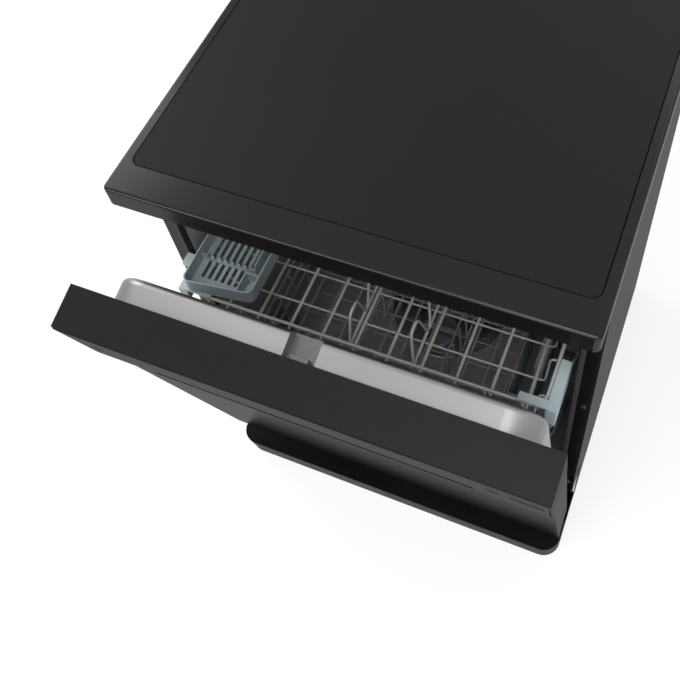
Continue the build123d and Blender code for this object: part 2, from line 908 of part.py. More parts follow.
cap_x = dispenser_left + dispenser_width - cap_margin - cap_radius
cap_z = dispenser_bottom + dispenser_height / 2
cap = rod((cap_x, face_y + seat_gap, cap_z), cap_radius, cap_thickness - cap_rib_height, (0, 1, 0))
cap_rib = block(spread(cap_x, cap_radius), (face_y + seat_gap, face_y + seat_gap + cap_thickness),
                spread(cap_z, cap_rib_width))
save("rinse_aid_cap", turned_door(cap + cap_rib))


# Hinges: brackets with pins on the base, arms in the door
def hinge_bracket():
    outline = [
        (hinge_y, hinge_z - bracket_nose_radius),
        (bracket_end - bracket_return, hinge_z - bracket_nose_radius),
        (bracket_end - bracket_return, bracket_foot),
        (bracket_end, bracket_foot),
        (bracket_end, hinge_z + bracket_nose_radius),
        (hinge_y, hinge_z + bracket_nose_radius),
    ]
    outer = bracket_inner + bracket_thickness
    plate = side_plate(outline, bracket_inner, outer)
    plate += rod((bracket_inner, hinge_y, hinge_z), bracket_nose_radius, bracket_thickness, (1, 0, 0))
    lug = block((bracket_inner, outer + spring_radius + spring_radius),
                (spring_start - bracket_thickness, spring_start),
                (spring_level - spring_radius, spring_level + spring_radius))
    link = block((bracket_inner, outer), (bracket_end - overrun, spring_start),
                 (spring_level - spring_radius, spring_level + spring_radius))
    pin = rod((outer, hinge_y, hinge_z), pin_radius, pin_end_x - outer, (1, 0, 0))
    return plate + lug + link + pin


def hinge_arm():
    nose_front = hinge_y - arm_nose_radius
    inner_back = door_back - sheet - seat_gap
    front = panel_front + sheet + seat_gap
    outline = [
        (nose_front, hinge_z - arm_nose_radius / 2),
        (hinge_y, hinge_z - arm_nose_radius),
        (hinge_y, hinge_z + arm_nose_radius),
        (inner_back, arm_bottom + arm_nose_radius),
        (inner_back, arm_top),
        (front, arm_top),
        (front, arm_bottom),
    ]
    outer = arm_inner + arm_thickness
    arm = side_plate(outline, arm_inner, outer)
    arm += rod((arm_inner, hinge_y, hinge_z), arm_nose_radius, arm_thickness, (1, 0, 0))
    arm += block((arm_inner, arm_inner + arm_flange_width), (front, front + arm_flange_thickness),
                 (arm_bottom, arm_top))
    return arm - rod((arm_inner - overrun, hinge_y, hinge_z), pin_radius + bore_clearance,
                     arm_thickness + overrun + overrun, (1, 0, 0))


save("hinge_brackets", *both_sides(hinge_bracket()))
save("hinge_arms", *[turned_door(arm) for arm in both_sides(hinge_arm())])
save("door_bottom_seal", turned_door(block((-bulge_half_width, bulge_half_width),
                                           (door_back + seat_gap, door_back + seat_gap + seal_depth),
                                           (seal_bottom, seal_bottom + seal_height))))


# Springs: their coils' outer shape, hooked to the lugs behind the hinges
def door_spring():
    x = bracket_inner + bracket_thickness + spring_radius + seat_gap
    coil_start = (x, spring_start + spring_radius, spring_level)
    coil = rod(coil_start, spring_radius, spring_end - spring_start, (0, 1, 0))
    coil -= rod((x, spring_start, spring_level), spring_bore, machine_depth, (0, 1, 0))
    hook = block(spread(x, spring_bore + spring_bore + spring_hook_radius),
                 (spring_start + seat_gap, spring_start + spring_radius + spring_hook_radius),
                 spread(spring_level, spring_hook_radius + spring_hook_radius))
    return coil + hook


save("door_springs", *both_sides(door_spring()))


# Screws on the front flanges of the side panels, and around the liner
cabinet_screws = []
for level in side_screw_levels:
    screw_x = side_outer - front_flange / 2
    head = rod((screw_x, cabinet_front, level), side_screw_radius, screw_head_height, (0, -1, 0))
    cabinet_screws += both_sides(head)
save("cabinet_screws", *cabinet_screws)

door_screws = []
for level in liner_screw_levels:
    head = rod((liner_half_width - liner_screw_inset, door_back, level), screw_head_radius,
               screw_head_height, (0, 1, 0))
    door_screws += both_sides(head)
save("door_screws", *[turned_door(head) for head in door_screws])


# Sump, filters, pumps, softener and connections
def sump():
    body = rod((0, sump_y, sump_bottom), sump_radius, tub_floor_level - sheet - sump_bottom)
    flange_bottom = tub_floor_level - sheet - sump_flange_thickness
    body += rod((0, sump_y, flange_bottom), sump_flange_radius, sump_flange_thickness)
    body -= rod((0, sump_y, sump_bottom + sump_wall), sump_radius - sump_wall, tub_floor_level)
    return body + rod((0, sump_y, sump_bottom), post_radius, post_top - sump_bottom)


save("sump", sump())

filter_y = sump_y - filter_offset
filter_plate = rod((0, sump_y, tub_floor_level), filter_plate_radius, filter_plate_thickness)
filter_plate -= rod((0, sump_y, 0), post_radius + seat_gap, tub_ceiling)
filter_plate -= rod((0, filter_y, 0), filter_radius + seat_gap, tub_ceiling)
save("filter_plate", filter_plate)


def filter_cylinder():
    can = rod((0, filter_y, filter_bottom), filter_radius, filter_rim_top - filter_bottom)
    can -= rod((0, filter_y, filter_bottom + filter_wall), filter_radius - filter_wall, tub_ceiling)
    grip_z = (filter_rim_top - filter_grip_width, filter_grip_top)
    bar_length = filter_radius + filter_radius - filter_wall
    return can + block(spread(0, bar_length), spread(filter_y, filter_grip_width), grip_z)


save("filter_cylinder", filter_cylinder())

pump_z = tray_floor_top + pump_radius
pump = rod((pump_left, pump_y, pump_z), pump_radius, pump_length, (1, 0, 0))
pump += rod((0, pump_y, pump_z), pump_spout_radius, sump_bottom - pump_z)
save("circulation_pump", pump)

drain_start = (-sump_radius - seat_gap, sump_y, drain_pump_level)
drain_pump = rod(drain_start, drain_pump_radius, drain_pump_length, (-1, 0, 0))
save("drain_pump", drain_pump)

neck_x = softener_left + softener_width / 2
neck_y = softener_front + softener_depth / 2
softener = block((softener_left, softener_left + softener_width),
                 (softener_front, softener_front + softener_depth), (tray_floor_top, softener_top))
softener += rod((neck_x, neck_y, softener_top), softener_neck_radius, tub_floor_level - softener_top)
save("softener_tank", softener)

salt_cap_level = tub_floor_level + seat_gap
salt_cap = rod((neck_x, neck_y, salt_cap_level), salt_cap_radius, salt_cap_height - salt_cap_rib)
salt_cap += block(spread(neck_x, salt_cap_radius + salt_cap_rib), spread(neck_y, salt_cap_rib),
                  (salt_cap_level, salt_cap_level + salt_cap_height))
save("salt_cap", salt_cap)

valve_back = tray_back - tray_wall - seat_gap
inlet_valve = block(spread(inlet_x, inlet_body_width), (valve_back - inlet_body_depth, valve_back),
                    (tray_floor_top, tray_floor_top + inlet_body_height))
inlet_start = (inlet_x, valve_back, port_level)
collar_length = tray_back + seat_gap - valve_back
inlet_valve += rod(inlet_start, inlet_collar_radius, collar_length, (0, 1, 0))
inlet_valve += rod(inlet_start, inlet_radius, port_end - valve_back, (0, 1, 0))
save("inlet_valve", inlet_valve)

gland = rod((gland_x, valve_back, port_level), gland_radius, gland_length, (0, 1, 0))
gland += rod((gland_x, valve_back, port_level), gland_radius + tray_wall, tray_wall, (0, -1, 0))
gland_start = (gland_x, valve_back - gland_length, port_level)
gland -= rod(gland_start, gland_bore, gland_length * 2 + overrun, (0, 1, 0))
save("cable_gland", gland)

riser = rod((0, riser_y, riser_bottom), riser_radius, riser_outlet_level - riser_bottom)
riser += rod((0, riser_y, riser_outlet_level), riser_radius, riser_y - riser_outlet_end, (0, -1, 0))
riser += rod((0, riser_y, riser_bottom), riser_radius, riser_y - sump_y - sump_radius, (0, -1, 0))
for level in (riser_bottom, riser_outlet_level):
    riser += Pos(0, riser_y, level) * Sphere(riser_radius)
save("spray_feed_pipe", riser)


# Spray arms: a hub with two tapered blades and a row of nozzles on each
def spray_arm(centre_y, radius, blade_bottom, hub, hub_radius, bore_radius, bore):
    root = arm_root_width / 2
    tip = arm_tip_width / 2
    blade_length = radius - tip
    outline = [(0, -root), (blade_length, -tip), (blade_length, tip), (0, root),
               (-blade_length, tip), (-blade_length, -tip)]
    blade = extrude(make_face(Polyline(*outline, close=True)), amount=arm_blade_thickness)
    for side in (-blade_length, blade_length):
        blade += Pos(side, 0, 0) * rod((0, 0, 0), tip, arm_blade_thickness)
    blade = Pos(0, centre_y, blade_bottom) * blade
    arm = blade + rod((0, centre_y, hub[0]), hub_radius, hub[1] - hub[0])
    nozzle_count = int((blade_length - hub_radius) / nozzle_spacing)
    for step in range(1, nozzle_count + 1):
        offset = hub_radius + step * nozzle_spacing
        for x in (-offset, offset):
            arm -= rod((x, centre_y, blade_bottom), nozzle_radius, arm_blade_thickness)
    return arm - rod((0, centre_y, bore[0]), bore_radius, bore[1] - bore[0])


lower_hub_bottom = tub_floor_level + filter_plate_thickness + hub_floor_gap
lower_bore = (lower_hub_bottom - overrun, post_top + hub_floor_gap)
lower_arm = spray_arm(sump_y, lower_arm_radius, lower_arm_bottom, (lower_hub_bottom, lower_arm_hub_top),
                      lower_arm_hub_radius, post_radius + bore_clearance, lower_bore)
save("lower_spray_arm", lower_arm)

duct_level = riser_outlet_level
duct_top = duct_level + duct_radius
upper_bore = (upper_arm_bottom - hub_floor_gap, upper_hub_top + overrun)
upper_arm = spray_arm(upper_arm_y, upper_arm_radius, upper_arm_bottom, (upper_hub_bottom, upper_hub_top),
                      upper_hub_radius, duct_post_radius + bore_clearance, upper_bore)
save("upper_spray_arm", Pos(0, -upper_out, 0) * upper_arm)


def upper_duct():
    duct = rod((0, upper_arm_y, duct_level), duct_radius, duct_end - upper_arm_y, (0, 1, 0))
    duct += rod((0, upper_arm_y, upper_arm_bottom), duct_post_radius, duct_top - upper_arm_bottom)
    clip_y = spread(upper_arm_y, duct_clip_width)
    duct += block(spread(0, duct_clip_width), clip_y, (duct_level, upper_floor - seat_gap))
    return duct - rod((0, upper_arm_y, duct_level), duct_bore, duct_end, (0, 1, 0))


save("upper_spray_duct", Pos(0, -upper_out, 0) * upper_duct())


# Wire racks: a floor and four walls, each a flat grille of crossed wires
def grille(width, height, pitch, cross_pitch):
    """A flat lattice drawn in two directions, with its corner at the origin."""
    face = Rectangle(width, height, align=(Align.MIN, Align.MIN))
    columns = max(1, round(width / pitch))
    rows = max(1, round(height / cross_pitch))
    cell = (width - wire) / columns
    row = (height - wire) / rows
    window = Rectangle(cell - wire, row - wire, align=(Align.MIN, Align.MIN))
    places = [(wire + i * cell, wire + j * row) for i in range(columns) for j in range(rows)]
    return face - [Pos(x, y) * window for x, y in places]


def rack(front, floor_level, rim_level, pitch, cross_pitch):
    width = rack_half_width + rack_half_width
    length = rack_back - front
    height = rim_level - floor_level - wire - seat_gap
    base = extrude(grille(width, length, pitch, cross_pitch), amount=wire)
    base = Pos(-rack_half_width, front, floor_level) * base
    wall_level = floor_level + wire + seat_gap
    end_face = grille(width, height, pitch, rim_wire_drop)
    ends = []
    for y in (front, rack_back - wire):
        ends.append(front_plate(Pos(-rack_half_width, wall_level) * end_face, y, y + wire))
    side_face = grille(length - (wire + seat_gap) * 2, height, pitch, rim_wire_drop)
    plane = Plane(origin=(rack_half_width - wire, front + wire + seat_gap, wall_level),
                  x_dir=(0, 1, 0), z_dir=(1, 0, 0))
    side = extrude(plane * side_face, amount=wire)
    return base, ends, both_sides(side)


upper_base, upper_ends, upper_sides = rack(upper_front, upper_floor, upper_rim, upper_pitch,
                                           upper_cross_pitch)
upper_shift = Pos(0, -upper_out, 0)
save("upper_rack_wires", *[upper_shift * piece for piece in [upper_base] + upper_ends + upper_sides])


# Corner brackets of the upper rack, in soft plastic
def corner_bracket():
    inner = rack_half_width + seat_gap
    bottom = upper_rim - bracket_strip_height + wire / 2
    top = upper_rim + bracket_top_rise
    strip = block((inner, inner + bracket_strip_width), (upper_front, upper_front + bracket_strip_length),
                  (bottom, top))
    hollow = block((inner - overrun, inner + bracket_strip_width - bracket_plastic),
                   (upper_front + bracket_plastic, upper_front + bracket_strip_length - bracket_plastic),
                   (bottom - overrun, top - bracket_plastic))
    return strip - hollow


def corner_return():
    inner = rack_half_width + seat_gap
    top = upper_rim + bracket_top_rise
    lap = block((inner - bracket_return, inner + bracket_plastic),
                (upper_front, upper_front + bracket_return_width),
                (upper_rim + seat_gap, upper_rim + bracket_plastic))
    tongue = block((inner, inner + bracket_plastic), (upper_front, upper_front + bracket_return_width),
                   (top - bracket_plastic, upper_rim + bracket_plastic))
    return lap + tongue


corner_pieces = both_sides(corner_bracket() + corner_return())
save("rack_corner_brackets", *[upper_shift * piece for piece in corner_pieces])


# Telescopic slides: a fixed channel, a running channel and a bar
def channel(inner_edge, outer_edge, bottom, height):
    """A steel channel that opens towards the middle of the tub."""
    outer = block((inner_edge, outer_edge), (slide_front, slide_back), (bottom, bottom + height))
    hollow = block((inner_edge - overrun, outer_edge - slide_steel), (0, machine_depth),
                   (bottom + slide_steel, bottom + height - slide_steel))
    return outer - hollow


wall_edge = tub_half_width - seat_gap
nest = slide_steel + slide_fit
fixed_channel = channel(outer_slide_edge, wall_edge, slide_bottom, slide_height)
running_channel = channel(outer_slide_edge - slide_step, wall_edge - nest, slide_bottom + nest,
                          slide_height - nest * 2)
bar = block((rack_half_width + seat_gap, wall_edge - nest * 2), (slide_front, slide_back),
            (slide_bottom + nest * 2, slide_bottom + slide_height - nest * 2))
save("fixed_slides", *both_sides(fixed_channel))
half_shift = Pos(0, -upper_out / 2, 0)
save("running_slides", *[half_shift * piece for piece in both_sides(running_channel)])
save("rack_slide_bars", *[upper_shift * piece for piece in both_sides(bar)])


# Cutlery tray across the left of the upper rack, with a slanting front edge
def cutlery_tray():
    corners = [(0, 0), (tray_width, tray_slant), (tray_width, tray_length), (0, tray_length)]
    outline = make_face(Polyline(*corners, close=True))
    outline = fillet(outline.vertices(), tray_radius)
    inside = extrude(offset(outline, -tray_shell), amount=tray_height)
    tray = extrude(outline, amount=tray_height) - Pos(0, 0, tray_shell) * inside
    wall_z = (tray_shell, tray_height - tray_shell)
    tray += block(spread(tray_divider, tray_shell), (tray_divider_front, tray_length - tray_shell), wall_z)
    tray += block(spread(tray_cell_left, tray_shell), (tray_slant, tray_cell_back), wall_z)
    tray += block((tray_cell_left, tray_width - tray_shell), spread(tray_cell_back, tray_shell), wall_z)
    tray += block((-tray_lug_reach, tray_shell), (tray_lug_front, tray_lug_front + tray_lug_length),
                  (tray_height - tray_lug_height, tray_height))
    slot_count = int((tray_cell_left - tray_slot_margin) / tray_slot_pitch) + 1
    slot_places = [tray_slot_margin + step * tray_slot_pitch for step in range(slot_count)]
    for x in slot_places:
        tray -= block(spread(x, tray_slot_width), (tray_slot_front, tray_length - tray_slot_margin),
                      (-overrun, tray_shell + overrun))
    for share in comb_place_shares:
        comb = block((tray_shell, tray_divider), spread(share * tray_length, comb_thickness),
                     (tray_shell, tray_shell + comb_height))
        for x in slot_places:
            comb -= block(spread(x, tray_slot_width), (0, tray_length),
                          (tray_shell + comb_height / 2, tray_height))
        tray += comb
    return Pos(tray_left, tray_front_edge, tray_level) * tray


save("cutlery_tray", upper_shift * cutlery_tray())


# Folding rows: a rod along the rack with a zigzag of wire or with straight tines
def cup_row(x):
    length = cup_row_back - cup_row_front
    step = length / cup_row_teeth
    points = [(cup_row_front, cup_wire)]
    for tooth in range(cup_row_teeth):
        start = cup_row_front + tooth * step
        points += [(start + step / 2, cup_row_height), (start + step, cup_wire)]
    zigzag = trace(Polyline(*points), line_width=cup_wire)
    plane = Plane(origin=(-cup_wire / 2, 0, 0), x_dir=(0, 1, 0), z_dir=(1, 0, 0))
    row = extrude(plane * zigzag, amount=cup_wire)
    row += rod((0, cup_row_front, 0), cup_rod_radius, length, (0, 1, 0))
    return Pos(x, 0, upper_floor + wire + seat_gap + cup_rod_radius) * row


def tine_row(x):
    length = tine_row_back - tine_row_front
    row = rod((0, tine_row_front, 0), tine_width / 2, length, (0, 1, 0))
    step = (length - tine_width) / (tine_count - 1)
    for tine in range(tine_count):
        start = tine_row_front + tine * step
        row += block(spread(0, tine_width), (start, start + tine_width), (0, tine_height))
    return Pos(x, 0, lower_floor + wire + seat_gap + tine_width / 2) * row


lower_shift = Pos(0, -lower_out, 0)
for row_name, x in zip(("cup_row_left", "cup_row_right"), cup_row_positions):
    save(row_name, upper_shift * cup_row(x))
for row_name, x in zip(("plate_row_left", "plate_row_right"), tine_row_positions):
    save(row_name, lower_shift * tine_row(x))


# Lower rack with wheel carriers, wheels and the cutlery basket
lower_base, lower_ends, lower_sides = rack(lower_front, lower_floor, lower_rim, lower_pitch,
                                           lower_cross_pitch)
save("lower_rack_wires", *[lower_shift * piece for piece in [lower_base] + lower_ends + lower_sides])

wheel_level = tub_floor_level + seat_gap + wheel_radius


def carrier(y):
    outer = wheel_inner - seat_gap
    plate = block((outer - carrier_thickness, outer), spread(y, carrier_width),
                  (wheel_level - carrier_width / 2, lower_floor - seat_gap))
    axle_length = wheel_width + seat_gap * 2 + carrier_thickness
    return plate + rod((outer - carrier_thickness, y, wheel_level), axle_radius, axle_length, (1, 0, 0))


def wheel(y):
    body = rod((wheel_inner, y, wheel_level), wheel_radius, wheel_width, (1, 0, 0))
    return body - rod((wheel_inner - overrun, y, wheel_level), axle_radius + bore_clearance,
                      wheel_width + overrun * 2, (1, 0, 0))


carriers = [piece for y in wheel_places for piece in both_sides(carrier(y))]
save("wheel_carriers", *[lower_shift * piece for piece in carriers])
for wheels_name, y in zip(("front_rack_wheels", "back_rack_wheels"), wheel_places):
    save(wheels_name, *[lower_shift * piece for piece in both_sides(wheel(y))])


def cutlery_basket():
    x = (basket_left, basket_left + basket_width)
    y = (basket_front, basket_front + basket_length)
    z = (lower_floor + wire + seat_gap, lower_floor + wire + seat_gap + basket_height)
    basket = block(x, y, z)
    basket -= block((x[0] + basket_wall, x[1] - basket_wall), (y[0] + basket_wall, y[1] - basket_wall),
                    (z[0] + basket_wall, z[1] + overrun))
    slot_z = (z[0] + basket_handle_width, z[1] - basket_handle_width)
    slots = int((basket_length - basket_handle_width) / basket_slot_pitch)
    for step in range(slots):
        start = y[0] + basket_handle_width / 2 + step * basket_slot_pitch
        basket -= block((x[0] - overrun, x[1] + overrun), (start, start + basket_slot_width), slot_z)
    middle = (x[0] + x[1]) / 2
    web = block(spread(middle, basket_wall), (y[0] + basket_wall, y[1] - basket_wall), (z[0], z[1]))
    centre_y = (y[0] + y[1]) / 2
    post_z = (z[1] - overrun, z[1] + basket_handle_rise)
    loop = block(spread(middle, basket_handle_width), spread(centre_y, basket_length / 2), post_z)
    loop -= block((x[0], x[1]), spread(centre_y, basket_length / 2 - basket_handle_width * 2),
                  (z[1], z[1] + basket_handle_opening))
    return basket + web + loop


save("cutlery_basket", lower_shift * cutlery_basket())
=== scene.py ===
"""Looks for a freestanding dishwasher with its door part open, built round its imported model."""

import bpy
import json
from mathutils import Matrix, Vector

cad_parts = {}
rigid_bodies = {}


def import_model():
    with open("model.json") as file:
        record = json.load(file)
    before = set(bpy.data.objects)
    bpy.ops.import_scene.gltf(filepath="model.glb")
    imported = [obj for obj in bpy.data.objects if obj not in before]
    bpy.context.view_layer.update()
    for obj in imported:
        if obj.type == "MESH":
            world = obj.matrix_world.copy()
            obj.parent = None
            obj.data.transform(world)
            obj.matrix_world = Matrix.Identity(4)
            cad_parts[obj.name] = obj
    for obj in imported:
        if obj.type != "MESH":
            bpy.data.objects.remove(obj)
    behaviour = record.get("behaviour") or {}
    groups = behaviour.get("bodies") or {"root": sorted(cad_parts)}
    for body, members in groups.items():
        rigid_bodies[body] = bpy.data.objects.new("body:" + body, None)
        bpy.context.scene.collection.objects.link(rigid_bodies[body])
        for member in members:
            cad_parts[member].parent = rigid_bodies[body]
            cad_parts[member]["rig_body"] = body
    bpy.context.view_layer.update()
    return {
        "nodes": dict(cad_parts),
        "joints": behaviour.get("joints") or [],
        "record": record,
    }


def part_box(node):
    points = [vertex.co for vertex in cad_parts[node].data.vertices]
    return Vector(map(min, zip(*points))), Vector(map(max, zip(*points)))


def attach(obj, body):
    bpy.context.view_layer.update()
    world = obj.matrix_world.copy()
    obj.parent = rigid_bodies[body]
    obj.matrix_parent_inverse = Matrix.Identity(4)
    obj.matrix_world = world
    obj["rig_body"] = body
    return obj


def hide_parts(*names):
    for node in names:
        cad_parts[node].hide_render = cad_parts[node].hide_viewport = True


bl_info = {
    "name": "Dishwasher pieces",
    "version": (1, 0, 0),
    "blender": (4, 5, 0),
    "location": "3D View > Sidebar > Dishwasher",
    "description": "Builds the pieces and finishes of a freestanding dishwasher",
    "category": "Object",
}

import json
import math

import bmesh
import bpy
from mathutils import Matrix, Vector

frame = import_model()
node_slot = {part["node"]: part["material_slot"] for part in frame["record"]["subparts"]}
joint = {made["name"]: made for made in frame["joints"]}
door_hinge = Vector(joint["door_hinge"]["pos_m"])
door_angle = math.radians(14.5)
finishes = {}


def box_of(node):
    """The lowest and highest corner of a piece of the frame."""
    low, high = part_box(node)
    return Vector(low), Vector(high)


# Sizes and colours that a user would change


class DishwasherSizes(bpy.types.PropertyGroup):
    thin_wire: bpy.props.FloatProperty(
        name="Thin wire", description="Radius of the racks' cross wires", default=0.0016, unit="LENGTH")
    heavy_wire: bpy.props.FloatProperty(
        name="Heavy wire", description="Radius of the racks' long wires", default=0.0023, unit="LENGTH")
    rim_wire: bpy.props.FloatProperty(
        name="Rim wire", description="Radius of the wire round a rack's rim", default=0.0024, unit="LENGTH")
    wire_bend: bpy.props.FloatProperty(
        name="Wire bend", description="Radius of the wires' bends", default=0.012, unit="LENGTH")
    upper_long_wires: bpy.props.IntProperty(
        name="Upper long wires", description="Wires that run front to back in the upper rack", default=10)
    upper_cross_wires: bpy.props.IntProperty(
        name="Upper cross wires", description="Wires that cross the upper rack", default=9)
    lower_long_wires: bpy.props.IntProperty(
        name="Lower long wires", description="Wires that run front to back in the lower rack", default=13)
    lower_cross_wires: bpy.props.IntProperty(
        name="Lower cross wires", description="Wires that cross the lower rack", default=10)
    spring_pitch: bpy.props.FloatProperty(
        name="Spring pitch", description="Distance between the turns of a door spring", default=0.0026,
        unit="LENGTH")
    plate_hole: bpy.props.FloatProperty(
        name="Filter hole", description="Radius of the holes in the filter plate", default=0.0012,
        unit="LENGTH")
    plate_pitch: bpy.props.FloatProperty(
        name="Filter hole pitch", description="Distance between the holes in the filter plate", default=0.0062,
        unit="LENGTH")


def colour_field(label, meaning, value):
    """A colour a user can change, as a field of a property group."""
    return bpy.props.FloatVectorProperty(
        name=label, description=meaning, default=value, size=3, min=0.0, max=1.0, subtype="COLOR")


class DishwasherColours(bpy.types.PropertyGroup):
    black_gloss: colour_field("Gloss black", "Fascia, door and rim", (0.006, 0.006, 0.0065))
    black_matte: colour_field("Matte black", "Worktop and top of the fascia", (0.0105, 0.0105, 0.0108))
    steel: colour_field("Steel", "Door liner and tub", (0.37, 0.37, 0.368))
    rack_wire: colour_field("Rack wire", "Nylon coat of the racks", (0.42, 0.43, 0.43))
    heavy_rack_wire: colour_field("Heavy rack wire", "Coat of the long wires", (0.53, 0.52, 0.48))
    rack_plastic: colour_field("Rack plastic", "Blue-grey brackets and cutlery tray", (0.40, 0.475, 0.50))
    grey_plastic: colour_field("Grey plastic", "Spray arms, wheels and basket", (0.23, 0.26, 0.28))


# Node trees in short calls


class Sheet:
    """A node tree, with calls that add a node and join or set its sockets."""

    row_length, column_width, row_height = 12, 190, 260

    def __init__(self, tree):
        self.tree = tree
        self.made = 0

    def add(self, kind, sockets=None, **settings):
        """Adds a node in even rows. A socket is given a value, another socket or a list of sockets."""
        node = self.tree.nodes.new(kind)
        row, column = divmod(self.made, self.row_length)
        node.location = (column * self.column_width, -row * self.row_height)
        self.made += 1
        for key, value in settings.items():
            setattr(node, key, value)
        for key, value in (sockets or {}).items():
            for one in value if isinstance(value, list) else [value]:
                if isinstance(one, bpy.types.NodeSocket):
                    self.tree.links.new(one, node.inputs[key])
                else:
                    node.inputs[key].default_value = one
        return node

    def out(self, kind, sockets=None, **settings):
        """Adds a node and gives its first output."""
        return self.add(kind, sockets, **settings).outputs[0]

    def math(self, operation, a, b=0.0):
        return self.out("ShaderNodeMath", {0: a, 1: b}, operation=operation)

    def vector(self, x=0.0, y=0.0, z=0.0):
        return self.out("ShaderNodeCombineXYZ", {0: x, 1: y, 2: z})


def geometry_sheet(name, inputs):
    """A Geometry Nodes tree with named inputs. Returns its sheet and a dict of its input sockets."""
    tree = bpy.data.node_groups.new(name, "GeometryNodeTree")
    tree.interface.new_socket("Geometry", in_out="OUTPUT", socket_type="NodeSocketGeometry")
    for label, kind in inputs:
        tree.interface.new_socket(label, in_out="INPUT", socket_type="NodeSocket" + kind)
    tree.interface.new_socket("Finish", in_out="INPUT", socket_type="NodeSocketMaterial")
    sheet = Sheet(tree)
    start = sheet.add("NodeGroupInput")
    return sheet, {socket.name: socket for socket in start.outputs if socket.name}


def straight(sheet, end):
    """A straight curve from the origin."""
    return sheet.out("GeometryNodeCurvePrimitiveLine", {"End": end})


def circle(sheet, radius, sides):
    """A round curve about the origin."""
    return sheet.out("GeometryNodeCurvePrimitiveCircle", {"Resolution": sides, "Radius": radius})


def round_wire(sheet, curve, radius, sides=10):
    """A curve made into a round wire with closed ends."""
    profile = circle(sheet, radius, sides)
    return sheet.out("GeometryNodeCurveToMesh", {"Curve": curve, "Profile Curve": profile, "Fill Caps": True})


def shifted(sheet, geometry, place):
    """A piece of geometry moved by a vector."""
    return sheet.out("GeometryNodeTransform", {"Geometry": geometry, "Translation": place})


def together(sheet, *pieces):
    """Several pieces of geometry as one."""
    return sheet.out("GeometryNodeJoinGeometry", {0: list(pieces)})


def chosen_vector(sheet, index, vectors):
    """The vector with this index, from sockets or plain values."""
    switch = sheet.add("GeometryNodeIndexSwitch", data_type="VECTOR")
    while len(switch.index_switch_items) < len(vectors):
        switch.index_switch_items.new()
    sheet.tree.links.new(index, switch.inputs["Index"])
    for place, vector in enumerate(vectors, 1):
        if isinstance(vector, bpy.types.NodeSocket):
            sheet.tree.links.new(vector, switch.inputs[place])
        else:
            switch.inputs[place].default_value = vector
    return switch.outputs[0]


def rounded(sheet, curve, bend):
    """A curve with round corners, which shrink where two are close together."""
    return sheet.out("GeometryNodeFilletCurve",
                     {"Curve": curve, "Count": 4, "Radius": bend, "Limit Radius": True}, mode="POLY")


def cornered_curve(sheet, corners, bend):
    """A curve through corner points, with its corners rounded."""
    line = straight(sheet, (1.0, 0.0, 0.0))
    many = sheet.out("GeometryNodeResampleCurve", {"Curve": line, "Count": len(corners)})
    corner = chosen_vector(sheet, sheet.out("GeometryNodeInputIndex"), corners)
    bent = sheet.out("GeometryNodeSetPosition", {"Geometry": many, "Position": corner})
    return rounded(sheet, bent, bend)


def repeated(sheet, piece, first, last, count):
    """A piece repeated at even steps along a straight row."""
    row = sheet.out("GeometryNodeMeshLine", {"Count": count, "Start Location": first, "Offset": last},
                    mode="END_POINTS")
    return sheet.out("GeometryNodeInstanceOnPoints", {"Points": row, "Instance": piece})


def finish_tree(sheet, geometry, finish):
    """Ends a tree with real geometry, smooth shading and its finish."""
    real = sheet.out("GeometryNodeRealizeInstances", {"Geometry": geometry})
    smooth = sheet.out("GeometryNodeSetShadeSmooth", {"Geometry": real, "Shade Smooth": True})
    painted = sheet.out("GeometryNodeSetMaterial", {"Geometry": smooth, "Material": finish})
    sheet.add("NodeGroupOutput", {0: painted})
    return sheet.tree


def finish_row(sheet, piece, given):
    """Ends a tree with its piece repeated from First to Last."""
    row = repeated(sheet, piece, given["First"], given["Last"], given["Count"])
    return finish_tree(sheet, row, given["Finish"])


def finish_on_rod(sheet, teeth, rod_radius, given):
    """Ends a tree with its teeth on a rod that runs front to back."""
    rod = round_wire(sheet, straight(sheet, sheet.vector(y=given["Length"])), rod_radius, sides=12)
    return finish_tree(sheet, shifted(sheet, together(sheet, teeth, rod), given["Start"]), given["Finish"])


def bent_wires_tree(corner_count):
    """Like wires bent at their corners and repeated in a row."""
    labels = [f"Corner {i + 1}" for i in range(corner_count)]
    fields = [(label, "Vector") for label in labels]
    fields += [("First", "Vector"), ("Last", "Vector"), ("Count", "Int"), ("Radius", "Float"),
               ("Bend", "Float")]
    sheet, given = geometry_sheet(f"bent wires {corner_count}", fields)
    curve = cornered_curve(sheet, [given[label] for label in labels], given["Bend"])
    return finish_row(sheet, round_wire(sheet, curve, given["Radius"]), given)


def ring_wires_tree():
    """Closed rings of wire, one above the other."""
    fields = [("Width", "Float"), ("Length", "Float"), ("First", "Vector"), ("Last", "Vector"),
              ("Count", "Int"), ("Radius", "Float"), ("Bend", "Float")]
    sheet, given = geometry_sheet("ring wires", fields)
    loop = sheet.out("GeometryNodeCurvePrimitiveQuadrilateral",
                     {"Width": given["Width"], "Height": given["Length"]})
    loop = sheet.out("GeometryNodeFilletCurve", {"Curve": loop, "Count": 6, "Radius": given["Bend"]},
                     mode="POLY")
    return finish_row(sheet, round_wire(sheet, loop, given["Radius"]), given)


